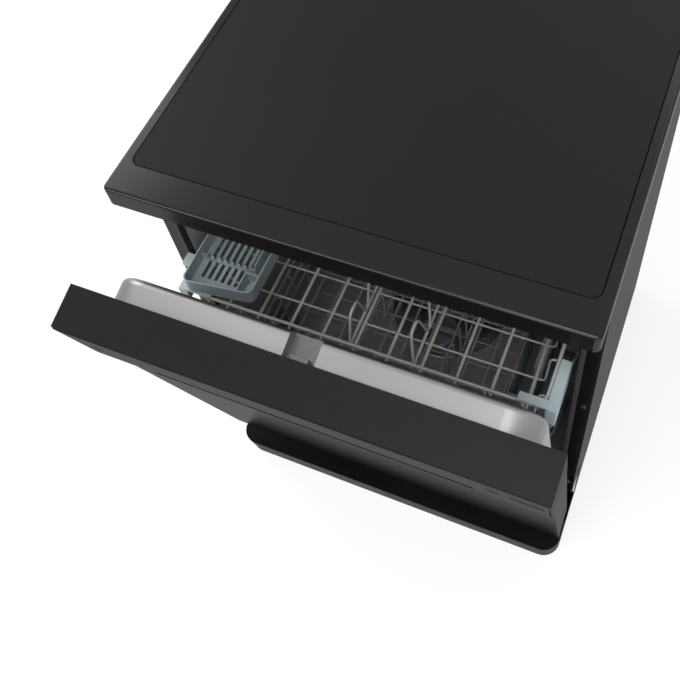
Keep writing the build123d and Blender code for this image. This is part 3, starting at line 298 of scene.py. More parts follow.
def wave_row_tree():
    """A rod with a wire beside it, bent in even waves with flat tops."""
    fields = [("Start", "Vector"), ("Length", "Float"), ("Waves", "Int"), ("Rise", "Float"), ("Lean", "Float"),
              ("Radius", "Float"), ("Rod Radius", "Float"), ("Bend", "Float")]
    wave_corners = [(0.0, 0.03, 0.0), (0.0, 0.28, 1.0), (0.0, 0.62, 1.0), (0.0, 0.87, 0.0)]
    per_wave = float(len(wave_corners))
    sheet, given = geometry_sheet("wave row", fields)
    pitch = sheet.math("DIVIDE", given["Length"], given["Waves"])
    points = sheet.math("MULTIPLY", given["Waves"], per_wave)
    many = sheet.out("GeometryNodeResampleCurve", {"Curve": straight(sheet, (0.0, 1.0, 0.0)), "Count": points})
    index = sheet.out("GeometryNodeInputIndex")
    wave = sheet.math("FLOOR", sheet.math("DIVIDE", index, per_wave))
    share = chosen_vector(sheet, sheet.math("MODULO", index, per_wave), wave_corners)
    parts = sheet.add("ShaderNodeSeparateXYZ", {0: share})
    along = sheet.math("MULTIPLY", sheet.math("ADD", wave, parts.outputs[1]), pitch)
    up = sheet.math("MULTIPLY", parts.outputs[2], given["Rise"])
    aside = sheet.math("MULTIPLY", parts.outputs[2], given["Lean"])
    place = sheet.vector(aside, along, up)
    waved = sheet.out("GeometryNodeSetPosition", {"Geometry": many, "Position": place})
    wire = round_wire(sheet, rounded(sheet, waved, given["Bend"]), given["Radius"])
    return finish_on_rod(sheet, wire, given["Rod Radius"], given)


def tine_row_tree():
    """A rod with straight round-tipped tines."""
    fields = [("Start", "Vector"), ("Length", "Float"), ("Tines", "Int"), ("Rise", "Float"),
              ("Radius", "Float")]
    sheet, given = geometry_sheet("tine row", fields)
    tip = sheet.vector(z=sheet.math("SUBTRACT", given["Rise"], given["Radius"]))
    stem = round_wire(sheet, straight(sheet, tip), given["Radius"], sides=12)
    ball = sheet.out("GeometryNodeMeshUVSphere", {"Segments": 12, "Rings": 8, "Radius": given["Radius"]})
    tine = together(sheet, stem, shifted(sheet, ball, tip))
    last = sheet.vector(y=sheet.math("SUBTRACT", given["Length"], given["Radius"]))
    row = repeated(sheet, tine, sheet.vector(y=given["Radius"]), last, given["Tines"])
    return finish_on_rod(sheet, row, given["Radius"], given)


def spring_tree():
    """A close-wound spring that lies front to back."""
    fields = [("Start", "Vector"), ("Length", "Float"), ("Turns", "Float"), ("Coil Radius", "Float"),
              ("Radius", "Float")]
    sheet, given = geometry_sheet("door spring", fields)
    coil = sheet.out("GeometryNodeCurveSpiral",
                     {"Resolution": 14, "Rotations": given["Turns"], "Start Radius": given["Coil Radius"],
                      "End Radius": given["Coil Radius"], "Height": given["Length"]})
    laid = sheet.out("GeometryNodeTransform",
                     {"Geometry": round_wire(sheet, coil, given["Radius"], sides=6),
                      "Translation": given["Start"], "Rotation": (-math.pi / 2, 0.0, 0.0)})
    return finish_tree(sheet, laid, given["Finish"])


def screw_row_tree():
    """A column of screw heads with a rounded top and a cross recess."""
    fields = [("First", "Vector"), ("Last", "Vector"), ("Count", "Int"), ("Turn", "Vector"),
              ("Radius", "Float"), ("Height", "Float")]
    skirt_share, crown_share, slit_length, slit_width = 0.55, 0.72, 1.1, 0.26
    sheet, given = geometry_sheet("screw row", fields)
    skirt = sheet.math("MULTIPLY", given["Height"], skirt_share)
    disc = sheet.add("GeometryNodeMeshCylinder", {"Vertices": 20, "Radius": given["Radius"], "Depth": skirt})
    crown = sheet.add("GeometryNodeExtrudeMesh",
                      {"Mesh": disc.outputs["Mesh"], "Selection": disc.outputs["Top"],
                       "Offset Scale": sheet.math("SUBTRACT", given["Height"], skirt), "Individual": False})
    crown = sheet.out("GeometryNodeScaleElements", {0: crown.outputs[0], 1: crown.outputs[1], 2: crown_share})
    raised = shifted(sheet, crown, sheet.vector(z=sheet.math("MULTIPLY", skirt, 0.5)))
    arm = sheet.math("MULTIPLY", given["Radius"], slit_length)
    slit = sheet.math("MULTIPLY", given["Radius"], slit_width)
    top = sheet.vector(z=given["Height"])
    bars = []
    for size in (sheet.vector(arm, slit, given["Height"]), sheet.vector(slit, arm, given["Height"])):
        bars.append(shifted(sheet, sheet.out("GeometryNodeMeshCube", {"Size": size}), top))
    head = sheet.out("GeometryNodeMeshBoolean", {"Mesh 1": raised, "Mesh 2": bars}, operation="DIFFERENCE")
    facing = sheet.out("GeometryNodeTransform", {"Geometry": head, "Rotation": given["Turn"]})
    return finish_row(sheet, facing, given)


def perforated_plate_tree():
    """A round plate full of small holes, with two large openings."""
    fields = [("Place", "Vector"), ("Plate Radius", "Float"), ("Post Radius", "Float"),
              ("Filter Place", "Vector"), ("Filter Radius", "Float"), ("Thickness", "Float"),
              ("Hole Radius", "Float"), ("Pitch", "Float")]
    edge_share, weld = 0.9, 0.00001
    sheet, given = geometry_sheet("perforated plate", fields)
    across = sheet.math("MULTIPLY", given["Plate Radius"], 2.0)
    count = sheet.math("FLOOR", sheet.math("DIVIDE", across, given["Pitch"]))
    grid = sheet.out("GeometryNodeMeshGrid",
                     {"Size X": across, "Size Y": across, "Vertices X": count, "Vertices Y": count})
    here = sheet.out("GeometryNodeInputPosition")
    from_centre = sheet.add("ShaderNodeVectorMath", {0: here}, operation="LENGTH").outputs[1]
    from_filter = sheet.add("ShaderNodeVectorMath", {0: here, 1: given["Filter Place"]},
                            operation="DISTANCE").outputs[1]
    edge = sheet.math("MULTIPLY", given["Pitch"], edge_share)
    outside = sheet.math("GREATER_THAN", from_centre, sheet.math("SUBTRACT", given["Plate Radius"], edge))
    on_post = sheet.math("LESS_THAN", from_centre, sheet.math("ADD", given["Post Radius"], edge))
    on_filter = sheet.math("LESS_THAN", from_filter, sheet.math("ADD", given["Filter Radius"], edge))
    away = sheet.math("MAXIMUM", outside, sheet.math("MAXIMUM", on_post, on_filter))
    kept = sheet.out("GeometryNodeDeleteGeometry", {"Geometry": grid, "Selection": away}, domain="POINT")
    hole = circle(sheet, given["Hole Radius"], sides=8)
    holes = sheet.out("GeometryNodeInstanceOnPoints", {"Points": kept, "Instance": hole})
    rim = circle(sheet, given["Plate Radius"], sides=72)
    post = circle(sheet, given["Post Radius"], sides=32)
    well = shifted(sheet, circle(sheet, given["Filter Radius"], sides=40), given["Filter Place"])
    loops = sheet.out("GeometryNodeRealizeInstances", {"Geometry": together(sheet, holes, rim, post, well)})
    face = sheet.out("GeometryNodeFillCurve", {"Curve": loops})
    slab = sheet.out("GeometryNodeExtrudeMesh",
                     {"Mesh": face, "Offset Scale": given["Thickness"], "Individual": False})
    under = sheet.out("GeometryNodeFlipFaces", {"Mesh": face})
    whole = sheet.out("GeometryNodeMergeByDistance",
                      {"Geometry": together(sheet, slab, under), "Distance": weld})
    return finish_tree(sheet, shifted(sheet, whole, given["Place"]), given["Finish"])


def baked_mesh(tree, values):
    """The plain mesh that a Geometry Nodes tree gives for these inputs."""
    carrier = bpy.data.objects.new("carrier", bpy.data.meshes.new("carrier"))
    bpy.context.scene.collection.objects.link(carrier)
    modifier = carrier.modifiers.new("build", "NODES")
    modifier.node_group = tree
    for item in tree.interface.items_tree:
        if item.in_out == "INPUT" and item.name in values:
            value = values[item.name]
            modifier[item.identifier] = tuple(value) if isinstance(value, Vector) else value
    carrier.update_tag()
    mesh = evaluated(carrier)
    bpy.data.objects.remove(carrier)
    if not mesh.polygons:
        raise RuntimeError(f"{tree.name} made no faces")
    return mesh


# Pieces of mesh


def evaluated(made):
    """The mesh of an object with its modifiers applied."""
    depsgraph = bpy.context.evaluated_depsgraph_get()
    return bpy.data.meshes.new_from_object(made.evaluated_get(depsgraph), depsgraph=depsgraph)


def mesh_from(work, name, finish=None):
    """A mesh from a bmesh, which is freed."""
    mesh = bpy.data.meshes.new(name)
    work.to_mesh(mesh)
    work.free()
    if finish:
        mesh.materials.append(finish)
    return mesh


def joined(name, meshes):
    """One mesh from several, keeping their finishes."""
    whole = bmesh.new()
    materials = []
    for mesh in meshes:
        first = len(whole.faces)
        whole.from_mesh(mesh)
        whole.faces.ensure_lookup_table()
        for face in whole.faces[first:]:
            material = mesh.materials[face.material_index]
            if material not in materials:
                materials.append(material)
            face.material_index = materials.index(material)
    made = mesh_from(whole, name)
    for material in materials:
        made.materials.append(material)
    return made


def put(name, mesh, body, slot, *replaced):
    """Shows a mesh as a piece that rides on a body in place of nodes of the frame."""
    made = bpy.data.objects.new(name, mesh)
    bpy.context.scene.collection.objects.link(made)
    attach(made, body)
    if replaced:
        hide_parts(*replaced)
    return made


def crease(mesh, degrees=35.0):
    """Smooth shading with sharp edges where faces turn by more than an angle."""
    work = bmesh.new()
    work.from_mesh(mesh)
    for face in work.faces:
        face.smooth = True
    for edge in work.edges:
        edge.smooth = len(edge.link_faces) == 2 and edge.calc_face_angle(0.0) < math.radians(degrees)
    work.to_mesh(mesh)
    work.free()
    return mesh


def softened(node, width, segments=2):
    """A copy of a node with its sharp edges rounded, shown in its place."""
    doubles, flat, sharp = 0.000002, math.radians(1.0), math.radians(40.0)
    source = frame["nodes"][node]
    work = bmesh.new()
    work.from_mesh(source.data)
    bmesh.ops.remove_doubles(work, verts=work.verts, dist=doubles)
    bmesh.ops.dissolve_limit(work, angle_limit=flat, verts=work.verts, edges=work.edges)
    mesh = mesh_from(work, node + "_soft", finishes[node_slot[node]])
    made = bpy.data.objects.new(node + "_soft", mesh)
    bpy.context.scene.collection.objects.link(made)
    bevel = made.modifiers.new("round", "BEVEL")
    bevel.width = width
    bevel.segments = segments
    bevel.limit_method = "ANGLE"
    bevel.angle_limit = sharp
    bevel.use_clamp_overlap = True
    plain = crease(evaluated(made))
    made.modifiers.clear()
    made.data = plain
    made.modifiers.new("even", "WEIGHTED_NORMAL").keep_sharp = True
    even = evaluated(made)
    bpy.data.objects.remove(made)
    return put(node + "_piece", even, source["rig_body"], node_slot[node], node)


def soften_all(widths, segments=2):
    """Rounds the edges of several nodes, each by its own width."""
    for node, width in widths:
        softened(node, width, segments)


def turned(profile, finish, place=Vector(), axis=Vector((0.0, 0.0, 1.0)), steps=48):
    """A shape turned about an axis from a profile of (radius, height) points."""
    nothing = 1e-7
    work = bmesh.new()
    turns = [math.tau * i / steps for i in range(steps)]
    rings = []
    for radius, height in profile:
        if radius < nothing:
            places = [(0.0, 0.0, height)]
        else:
            places = [(radius * math.cos(turn), radius * math.sin(turn), height) for turn in turns]
        rings.append([work.verts.new(corner) for corner in places])
    for lower, upper in zip(rings, rings[1:]):
        for i in range(steps):
            corners = [lower[i % len(lower)], lower[(i + 1) % len(lower)], upper[(i + 1) % len(upper)],
                       upper[i % len(upper)]]
            kept = []
            for corner in corners:
                if corner not in kept:
                    kept.append(corner)
            if len(kept) > 2:
                work.faces.new(kept)
    bmesh.ops.remove_doubles(work, verts=work.verts, dist=nothing)
    bmesh.ops.recalc_face_normals(work, faces=work.faces)
    spin = Vector((0.0, 0.0, 1.0)).rotation_difference(axis).to_matrix().to_4x4()
    bmesh.ops.transform(work, matrix=Matrix.Translation(place) @ spin, verts=work.verts)
    return crease(mesh_from(work, "turned", finish))


# Shader groups and finishes

# The groups' names, and how far brushed lines are squeezed along each axis
grain, waves, lines, zinc = "moulded grain", "gloss waviness", "brushed lines", "zinc spangle"
edge_wear = "edge wear"
brushed_across, brushed_lengthwise, brushed_screw = (12.0, 900.0, 900.0), (900.0, 12.0, 900.0), (700.0,) * 3


def shader_group(name, inputs, outputs):
    """An empty shader group with named inputs and outputs."""
    tree = bpy.data.node_groups.new(name, "ShaderNodeTree")
    for label, kind in inputs:
        tree.interface.new_socket(label, in_out="INPUT", socket_type="NodeSocket" + kind)
    for label in outputs:
        tree.interface.new_socket(label, in_out="OUTPUT", socket_type="NodeSocketFloat")
    sheet = Sheet(tree)
    start = sheet.add("NodeGroupInput")
    return sheet, {socket.name: socket for socket in start.outputs if socket.name}


def noise(sheet, where, scale, detail, **sockets):
    """Cloudy values over the surface. Other sockets of the noise are given by name."""
    return sheet.out("ShaderNodeTexNoise", {"Vector": where, "Scale": scale, "Detail": detail, **sockets})


def blended(sheet, one, other, share):
    """Two values added by shares that make one whole."""
    return sheet.math("ADD", sheet.math("MULTIPLY", one, share), sheet.math("MULTIPLY", other, 1.0 - share))


def grain_group():
    """Fine moulded grain: a speckle for colour and a height."""
    sheet, given = shader_group(grain, [("Vector", "Vector"), ("Scale", "Float")], ["Mask", "Height"])
    fine = noise(sheet, given["Vector"], given["Scale"], detail=3.0, Roughness=0.6)
    cells = sheet.out("ShaderNodeTexVoronoi", {"Vector": given["Vector"], "Scale": given["Scale"]})
    broad = noise(sheet, given["Vector"], scale=7.0, detail=2.0)
    mask = blended(sheet, fine, broad, share=0.6)
    sheet.add("NodeGroupOutput", {0: mask, 1: sheet.math("ADD", fine, cells)})


def brushed_group():
    """Brushed lines: long thin streaks for colour, roughness and height."""
    sheet, given = shader_group(lines, [("Vector", "Vector"), ("Stretch", "Vector")], ["Mask", "Height"])
    pulled = sheet.out("ShaderNodeVectorMath", {0: given["Vector"], 1: given["Stretch"]}, operation="MULTIPLY")
    streak = noise(sheet, pulled, scale=1.0, detail=5.0, Roughness=0.7)
    broad = noise(sheet, given["Vector"], scale=5.0, detail=2.0)
    sheet.add("NodeGroupOutput", {0: blended(sheet, streak, broad, share=0.7), 1: streak})


def gloss_group():
    """The slight waviness of a sprayed or polished surface, with faint smears."""
    sheet, given = shader_group(waves, [("Vector", "Vector"), ("Scale", "Float")], ["Mask", "Height"])
    peel = noise(sheet, given["Vector"], given["Scale"], detail=1.0)
    smear = noise(sheet, given["Vector"], scale=9.0, detail=4.0, Distortion=0.8)
    sheet.add("NodeGroupOutput", {0: smear, 1: peel})


def spangle_group():
    """The crystal pattern of galvanised sheet."""
    sheet, given = shader_group(zinc, [("Vector", "Vector"), ("Scale", "Float")], ["Mask", "Height"])
    cells = sheet.add("ShaderNodeTexVoronoi", {"Vector": given["Vector"], "Scale": given["Scale"]})
    tone = sheet.out("ShaderNodeSeparateXYZ", {0: cells.outputs["Color"]})
    sheet.add("NodeGroupOutput", {0: tone, 1: tone})


def wear_group():
    """Paler edges and corners, broken up by noise."""
    sheet, given = shader_group(edge_wear, [("Vector", "Vector"), ("Amount", "Float")], ["Mask"])
    blunt, sharp = 0.51, 0.62
    point = sheet.add("ShaderNodeNewGeometry").outputs["Pointiness"]
    edge = sheet.out("ShaderNodeMapRange", {0: point, 1: blunt, 2: sharp, 3: 0.0, 4: 1.0})
    patchy = noise(sheet, given["Vector"], scale=60.0, detail=3.0)
    mask = sheet.math("MULTIPLY", sheet.math("MULTIPLY", edge, patchy), given["Amount"])
    sheet.add("NodeGroupOutput", {0: mask})


def shade(colour, share):
    """A colour made lighter or darker by a share."""
    return tuple(min(1.0, channel * share) for channel in colour)


def mixed(sheet, share, one, other):
    """A colour between two. Each is a socket or a plain colour."""
    ends = [end if isinstance(end, bpy.types.NodeSocket) else (*end, 1.0) for end in (one, other)]
    return sheet.add("ShaderNodeMix", {0: share, 6: ends[0], 7: ends[1]}, data_type="RGBA").outputs[2]


def make_finish(name, pattern, colour, roughness, metallic=0.0, setting=600.0, contrast=0.12, spread=0.06,
                depth=0.00002, bump=0.2, wear=0.25, specular=0.5, coat=0.0, coat_rough=0.05, fade=0.06,
                anisotropic=0.0):
    """A material with varied colour, roughness and height. Its coat fades towards grazing views."""
    metal_lift, paint_share, paint_lift, least_roughness = 1.25, 0.7, 0.12, 0.02
    mask_low, mask_high, fade_start, fade_end = 0.25, 0.75, 0.35, 0.8
    material = bpy.data.materials.new(name)
    material.use_nodes = True
    sheet = Sheet(material.node_tree)
    sheet.tree.nodes.clear()
    where = sheet.add("ShaderNodeTexCoord").outputs["Object"]
    surface = sheet.add("ShaderNodeGroup", node_tree=bpy.data.node_groups[pattern])
    sheet.tree.links.new(where, surface.inputs["Vector"])
    surface.inputs[1].default_value = setting
    worn = sheet.add("ShaderNodeGroup", node_tree=bpy.data.node_groups[edge_wear])
    sheet.tree.links.new(where, worn.inputs["Vector"])
    worn.inputs["Amount"].default_value = wear
    mask = surface.outputs["Mask"]
    tone = mixed(sheet, mask, shade(colour, 1 - contrast), shade(colour, 1 + contrast))
    pale_paint = tuple(channel * paint_share + paint_lift for channel in colour)
    pale = shade(colour, metal_lift) if metallic else pale_paint
    paint = mixed(sheet, worn.outputs[0], tone, pale)
    smooth, dull = max(least_roughness, roughness - spread), roughness + spread
    rough = sheet.out("ShaderNodeMapRange", {0: mask, 1: mask_low, 2: mask_high, 3: smooth, 4: dull})
    relief = sheet.out("ShaderNodeBump",
                       {"Height": surface.outputs["Height"], "Strength": bump, "Distance": depth})
    body = sheet.add("ShaderNodeBsdfPrincipled", {
        "Base Color": paint, "Roughness": rough, "Normal": relief, "Metallic": metallic,
        "Specular IOR Level": specular, "Coat Roughness": coat_rough, "Anisotropic": anisotropic})
    if coat:
        facing = sheet.add("ShaderNodeLayerWeight", {"Blend": 0.5}).outputs["Facing"]
        weight = sheet.out("ShaderNodeMapRange",
                           {0: facing, 1: fade_start, 2: fade_end, 3: coat, 4: coat * fade},
                           interpolation_type="SMOOTHSTEP")
        sheet.tree.links.new(weight, body.inputs["Coat Weight"])
        sheet.tree.links.new(relief, body.inputs["Coat Normal"])
    sheet.add("ShaderNodeOutputMaterial", {0: body.outputs[0]})
    finishes[name] = material


def outer_finishes(gloss, matte):
    """Worktop, rim, cabinet, plinth and base."""
    make_finish("worktop_laminate", grain, shade(matte, 0.75), 0.5, setting=1500.0, contrast=0.18,
                specular=0.1, wear=0.02, depth=0.00003, bump=0.3)
    make_finish("rim_gloss", waves, shade(gloss, 0.75), 0.4, setting=140.0, specular=0.0, coat=0.5,
                coat_rough=0.18, fade=0.75, depth=0.00001, wear=0.03)
    make_finish("cabinet_paint", waves, shade(gloss, 0.6), 0.5, setting=260.0, specular=0.0, coat=0.7,
                coat_rough=0.14, fade=0.25, wear=0.03)
    make_finish("galvanised_steel", zinc, (0.46, 0.47, 0.48), 0.38, 1.0, setting=130.0, contrast=0.14,
                spread=0.1)
    make_finish("plinth_black", waves, shade(matte, 0.4), 0.45, setting=90.0, specular=0.04, depth=0.000002,
                contrast=0.15, wear=0.03)
    make_finish("tray_black", grain, (0.02, 0.02, 0.021), 0.5, setting=500.0)
    make_finish("foot_black", grain, (0.03, 0.03, 0.03), 0.55, setting=700.0)
    make_finish("screw_black", grain, (0.02, 0.02, 0.02), 0.32, setting=900.0)


def front_finishes(gloss, matte):
    """Fascia, door panel, grip, display and buttons."""
    make_finish("fascia_gloss", waves, shade(gloss, 0.5), 0.4, setting=40.0, specular=0.0, coat=0.45,
                coat_rough=0.04, fade=0.28, depth=0.0000004, bump=0.1, wear=0.02)
    make_finish("cover_matte", grain, shade(matte, 0.7), 0.42, setting=1300.0, specular=0.09, wear=0.02)
    make_finish("door_gloss", waves, shade(gloss, 0.5), 0.4, setting=40.0, specular=0.0, coat=0.45,
                coat_rough=0.15, fade=0.4, depth=0.0000004, bump=0.1, wear=0.02)
    make_finish("pocket_black", grain, (0.006, 0.006, 0.006), 0.5, setting=700.0, specular=0.0, coat=0.3,
                coat_rough=0.25)
    make_finish("display_dark", waves, (0.004, 0.004, 0.007), 0.3, setting=60.0, specular=0.0, coat=0.7,
                coat_rough=0.02)
    make_finish("button_black", waves, (0.009, 0.009, 0.01), 0.4, setting=200.0, specular=0.0, coat=0.5,
                coat_rough=0.1)
    make_finish("board_housing", grain, (0.30, 0.31, 0.32), 0.5)


def inner_finishes(steel):
    """Tub, door liner, seals, springs, screws and dispenser."""
    # The tub's steel is painted lighter than the steel colour: painted light inside the tub, where the worktop
    # shades it
    make_finish("tub_steel", lines, shade(steel, 1.35), 0.36, 0.55, setting=brushed_lengthwise, contrast=0.1,
                spread=0.07, depth=0.000006, anisotropic=0.3)
    make_finish("liner_steel", lines, shade(steel, 0.72), 0.4, 1.0, setting=brushed_across, contrast=0.08,
                depth=0.000008, anisotropic=0.4)
    # A darker copy of the steel: painted shade for the notch round the latch strike and for the strike itself
    make_finish("notch_steel", lines, shade(steel, 0.4), 0.3, 1.0, setting=brushed_across, contrast=0.2,
                spread=0.08)
    make_finish("seal_rubber", grain, (0.016, 0.016, 0.017), 0.62, setting=800.0, specular=0.3)
    make_finish("lock_black", grain, (0.022, 0.022, 0.022), 0.45, setting=700.0)
    make_finish("spring_steel", lines, (0.38, 0.38, 0.39), 0.3, 1.0, setting=brushed_lengthwise, contrast=0.2)
    make_finish("screw_steel", lines, (0.60, 0.60, 0.60), 0.22, 1.0, setting=brushed_screw, contrast=0.15)
    make_finish("dispenser_grey", grain, (0.36, 0.39, 0.41), 0.42, setting=800.0)
    make_finish("dispenser_lid_grey", grain, (0.44, 0.47, 0.49), 0.3, spread=0.04)


def works_finishes():
    """Sump, filter, pumps, tank and valve."""
    make_finish("sump_grey", grain, (0.24, 0.25, 0.26), 0.5)
    make_finish("filter_steel", lines, (0.52, 0.52, 0.51), 0.3, 1.0, setting=brushed_across, contrast=0.1)
    make_finish("filter_grey", grain, (0.30, 0.34, 0.37), 0.4)
    make_finish("pump_white", grain, (0.60, 0.60, 0.57), 0.45)
    make_finish("pump_black", grain, (0.03, 0.03, 0.032), 0.42)
    make_finish("tank_white", grain, (0.64, 0.64, 0.61), 0.4, setting=300.0, contrast=0.05)
    make_finish("valve_white", grain, (0.68, 0.68, 0.65), 0.38, contrast=0.06)


def rack_finishes(plastic, grey, wire, heavy_wire):
    """Racks, cutlery holders, slides, wheels and spray arms."""
    make_finish("arm_grey", grain, grey, 0.38, setting=700.0)
    make_finish("wire_grey", grain, wire, 0.34, setting=500.0, contrast=0.16, wear=0.1)
    make_finish("row_wire", grain, heavy_wire, 0.34, setting=500.0, contrast=0.14, wear=0.1)
    make_finish("bracket_blue_grey", grain, shade(plastic, 0.98), 0.36, setting=900.0, contrast=0.07)
    make_finish("tray_blue_grey", grain, shade(plastic, 0.72), 0.36, setting=900.0, contrast=0.07)
    make_finish("slide_steel", lines, (0.66, 0.66, 0.65), 0.16, 1.0, setting=brushed_lengthwise, contrast=0.1,
                depth=0.000004)
    make_finish("wheel_grey", grain, shade(grey, 1.05), 0.42)


class DISHWASHER_OT_finishes(bpy.types.Operator):
    """Make every finish and put it on the frame's own pieces"""
    bl_idname = "dishwasher.finishes"
    bl_label = "Finishes"

    def execute(self, context):
        colours = context.scene.dishwasher_colours
        gloss, matte, steel = tuple(colours.black_gloss), tuple(colours.black_matte), tuple(colours.steel)
        for make in (grain_group, brushed_group, gloss_group, spangle_group, wear_group):
            make()
        outer_finishes(gloss, matte)
        front_finishes(gloss, matte)
        inner_finishes(steel)
        works_finishes()
        rack_finishes(tuple(colours.rack_plastic), tuple(colours.grey_plastic), tuple(colours.rack_wire),
                      tuple(colours.heavy_rack_wire))
        missing = sorted(set(node_slot.values()) - set(finishes))
        if missing:
            raise RuntimeError(f"no finish for {missing}")
        for node, made in frame["nodes"].items():
            made.data.materials.clear()
            made.data.materials.append(finishes[node_slot[node]])
        return {"FINISHED"}


# The pieces, from the outside in


def foot_meshes(place, radius, top):
    """A levelling foot's rubber pad, lock nut and threaded stem."""
    pad_chamfer, pad_rounding, pad_wall, pad_shoulder = 0.002, 0.0016, 0.0055, 0.0076
    pad_neck, pad_top, nut_top, nut_radius, nut_edge = 0.0085, 0.008, 0.0136, 0.0082, 0.0004
    root, crest, pitch, first_gap, last_gap, tip_edge = 0.0043, 0.005, 0.0012, 0.0002, 0.001, 0.0004
    pad = [(0.0, 0.0), (radius - pad_chamfer, 0.0), (radius, pad_rounding), (radius, pad_wall),
           (radius - pad_rounding, pad_shoulder), (pad_neck, pad_top), (0.0, pad_top)]
    nut = [(0.0, pad_top), (nut_radius - nut_edge, pad_top), (nut_radius, pad_top + 2 * nut_edge),
           (nut_radius, nut_top - 2 * nut_edge), (nut_radius - nut_edge, nut_top), (0.0, nut_top)]
    stem = [(0.0, nut_top)]
    level = nut_top + first_gap
    while level < top - last_gap:
        stem += [(root, level), (crest, level + pitch / 2)]
        level += pitch
    stem += [(root, top - tip_edge), (0.0, top)]
    rubber, steel = finishes["foot_black"], finishes["screw_steel"]
    return [turned(pad, rubber, place), turned(nut, steel, place, steps=6),
            turned(stem, steel, place, steps=20)]


class DISHWASHER_OT_cabinet(bpy.types.Operator):
    """Round the edges of the worktop, plinth, feet and other outer pieces"""
    bl_idname = "dishwasher.cabinet"
    bl_label = "Cabinet"

    def execute(self, context):
        soften_all((("worktop_board", 0.0006), ("plinth", 0.0008), ("side_panel_left", 0.0003),
                    ("side_panel_right", 0.0003), ("door_gasket", 0.0012), ("door_lock", 0.0008)))
        low, high = box_of("levelling_feet")
        radius = 0.018
        feet = []
        for x in (low.x + radius, high.x - radius):
            for y in (low.y + radius, high.y - radius):
                feet += foot_meshes(Vector((x, y, 0.0)), radius, high.z)
        put("levelling_feet_piece", joined("levelling_feet", feet), "cabinet", "foot_black", "levelling_feet")
        return {"FINISHED"}


class DISHWASHER_OT_door(bpy.types.Operator):
    """Round the edges of the fascia, buttons, dispenser and the door's other mouldings"""
    bl_idname = "dishwasher.door"
    bl_label = "Door"

    def execute(self, context):
        soften_all((("fascia", 0.0008), ("grip_pocket", 0.001), ("display_window", 0.0003),
                    ("power_button", 0.0006), ("program_button", 0.0006), ("dispenser_body", 0.0012),
                    ("dispenser_lid", 0.001), ("rinse_aid_cap", 0.0008), ("door_bottom_seal", 0.0015),
                    ("control_board", 0.001), ("hinge_arms", 0.0003)))
        # The latch strike takes the steel with painted shade, darker than its own steel
        softened("latch_strike", width=0.0005).data.materials[0] = finishes["notch_steel"]
        low, high = box_of("latch_strike")
        notch_reach = Vector((0.0105, 0.04, 0.008))
        low, high = low - notch_reach, high + notch_reach
        liner = frame["nodes"]["door_liner"].data.copy()
        liner.materials.clear()
        liner.materials.append(finishes["liner_steel"])
        liner.materials.append(finishes["notch_steel"])
        # Faces wholly inside the notch round the strike take the steel with painted shade
        for face in liner.polygons:
            corners = [liner.vertices[i].co for i in face.vertices]
            in_notch = all(low[i] < corner[i] < high[i] for corner in corners for i in range(3))
            face.material_index = int(in_notch)
        put("door_liner_piece", liner, "door", "liner_steel", "door_liner")
        return {"FINISHED"}


def screw_columns(tree, node, ends, count, turn, radius, height, finish):
    """Two columns of like screw heads, one along each side of a node's box."""
    low, high = box_of(node)
    values = {"Count": count, "Turn": Vector((turn, 0.0, 0.0)), "Radius": radius, "Height": height,
              "Finish": finish}
    meshes = []
    for x in (low.x + radius, high.x - radius):
        first, last = ends(x)
        meshes.append(baked_mesh(tree, {**values, "First": first, "Last": last}))
    return crease(joined(node, meshes), degrees=30.0)


class DISHWASHER_OT_screws(bpy.types.Operator):
    """Set the screw heads round the liner and on the cabinet's front flanges"""
    bl_idname = "dishwasher.screws"
    bl_label = "Screws"

    def execute(self, context):
        tree = screw_row_tree()
        swing = Matrix.Rotation(door_angle, 4, "X")
        liner_face, lowest, highest = -0.006, 0.145, 0.585
        count, radius, height = 5, 0.004, 0.0022

        def on_door(x):
            return [door_hinge + swing @ Vector((x, liner_face, level)) for level in (lowest, highest)]

        columns = screw_columns(tree, "door_screws", on_door, count, door_angle - math.pi / 2, radius, height,
                                finishes["screw_steel"])
        put("door_screws_piece", columns, "door", "screw_steel", "door_screws")
        low, high = box_of("cabinet_screws")
        radius = 0.0035

        def on_flange(x):
            return [Vector((x, high.y, level)) for level in (low.z + radius, high.z - radius)]

        columns = screw_columns(tree, "cabinet_screws", on_flange, 2, math.pi / 2, radius, high.y - low.y,
                                finishes["screw_black"])
        put("cabinet_screws_piece", columns, "cabinet", "screw_black", "cabinet_screws")
        return {"FINISHED"}


class DISHWASHER_OT_springs(bpy.types.Operator):
    """Wind the two springs that balance the door"""
    bl_idname = "dishwasher.springs"
    bl_label = "Door springs"

    def execute(self, context):
        sizes = context.scene.dishwasher_sizes
        low, high = box_of("door_springs")
        outer, wire, front_gap, back_gap = 0.0055, 0.0011, 0.007, 0.001
        tree = spring_tree()
        length = high.y - low.y - front_gap - back_gap
        turns = math.floor(length / sizes.spring_pitch)
        meshes = []
        for x in (low.x + outer, high.x - outer):
            start = Vector((x, low.y + front_gap, (low.z + high.z) / 2))
            meshes.append(baked_mesh(tree, {
                "Start": start, "Length": length - wire, "Turns": float(turns), "Coil Radius": outer - wire,
                "Radius": wire, "Finish": finishes["spring_steel"]}))
        put("door_springs_piece", joined("door_springs", meshes), "cabinet", "spring_steel", "door_springs")
        return {"FINISHED"}


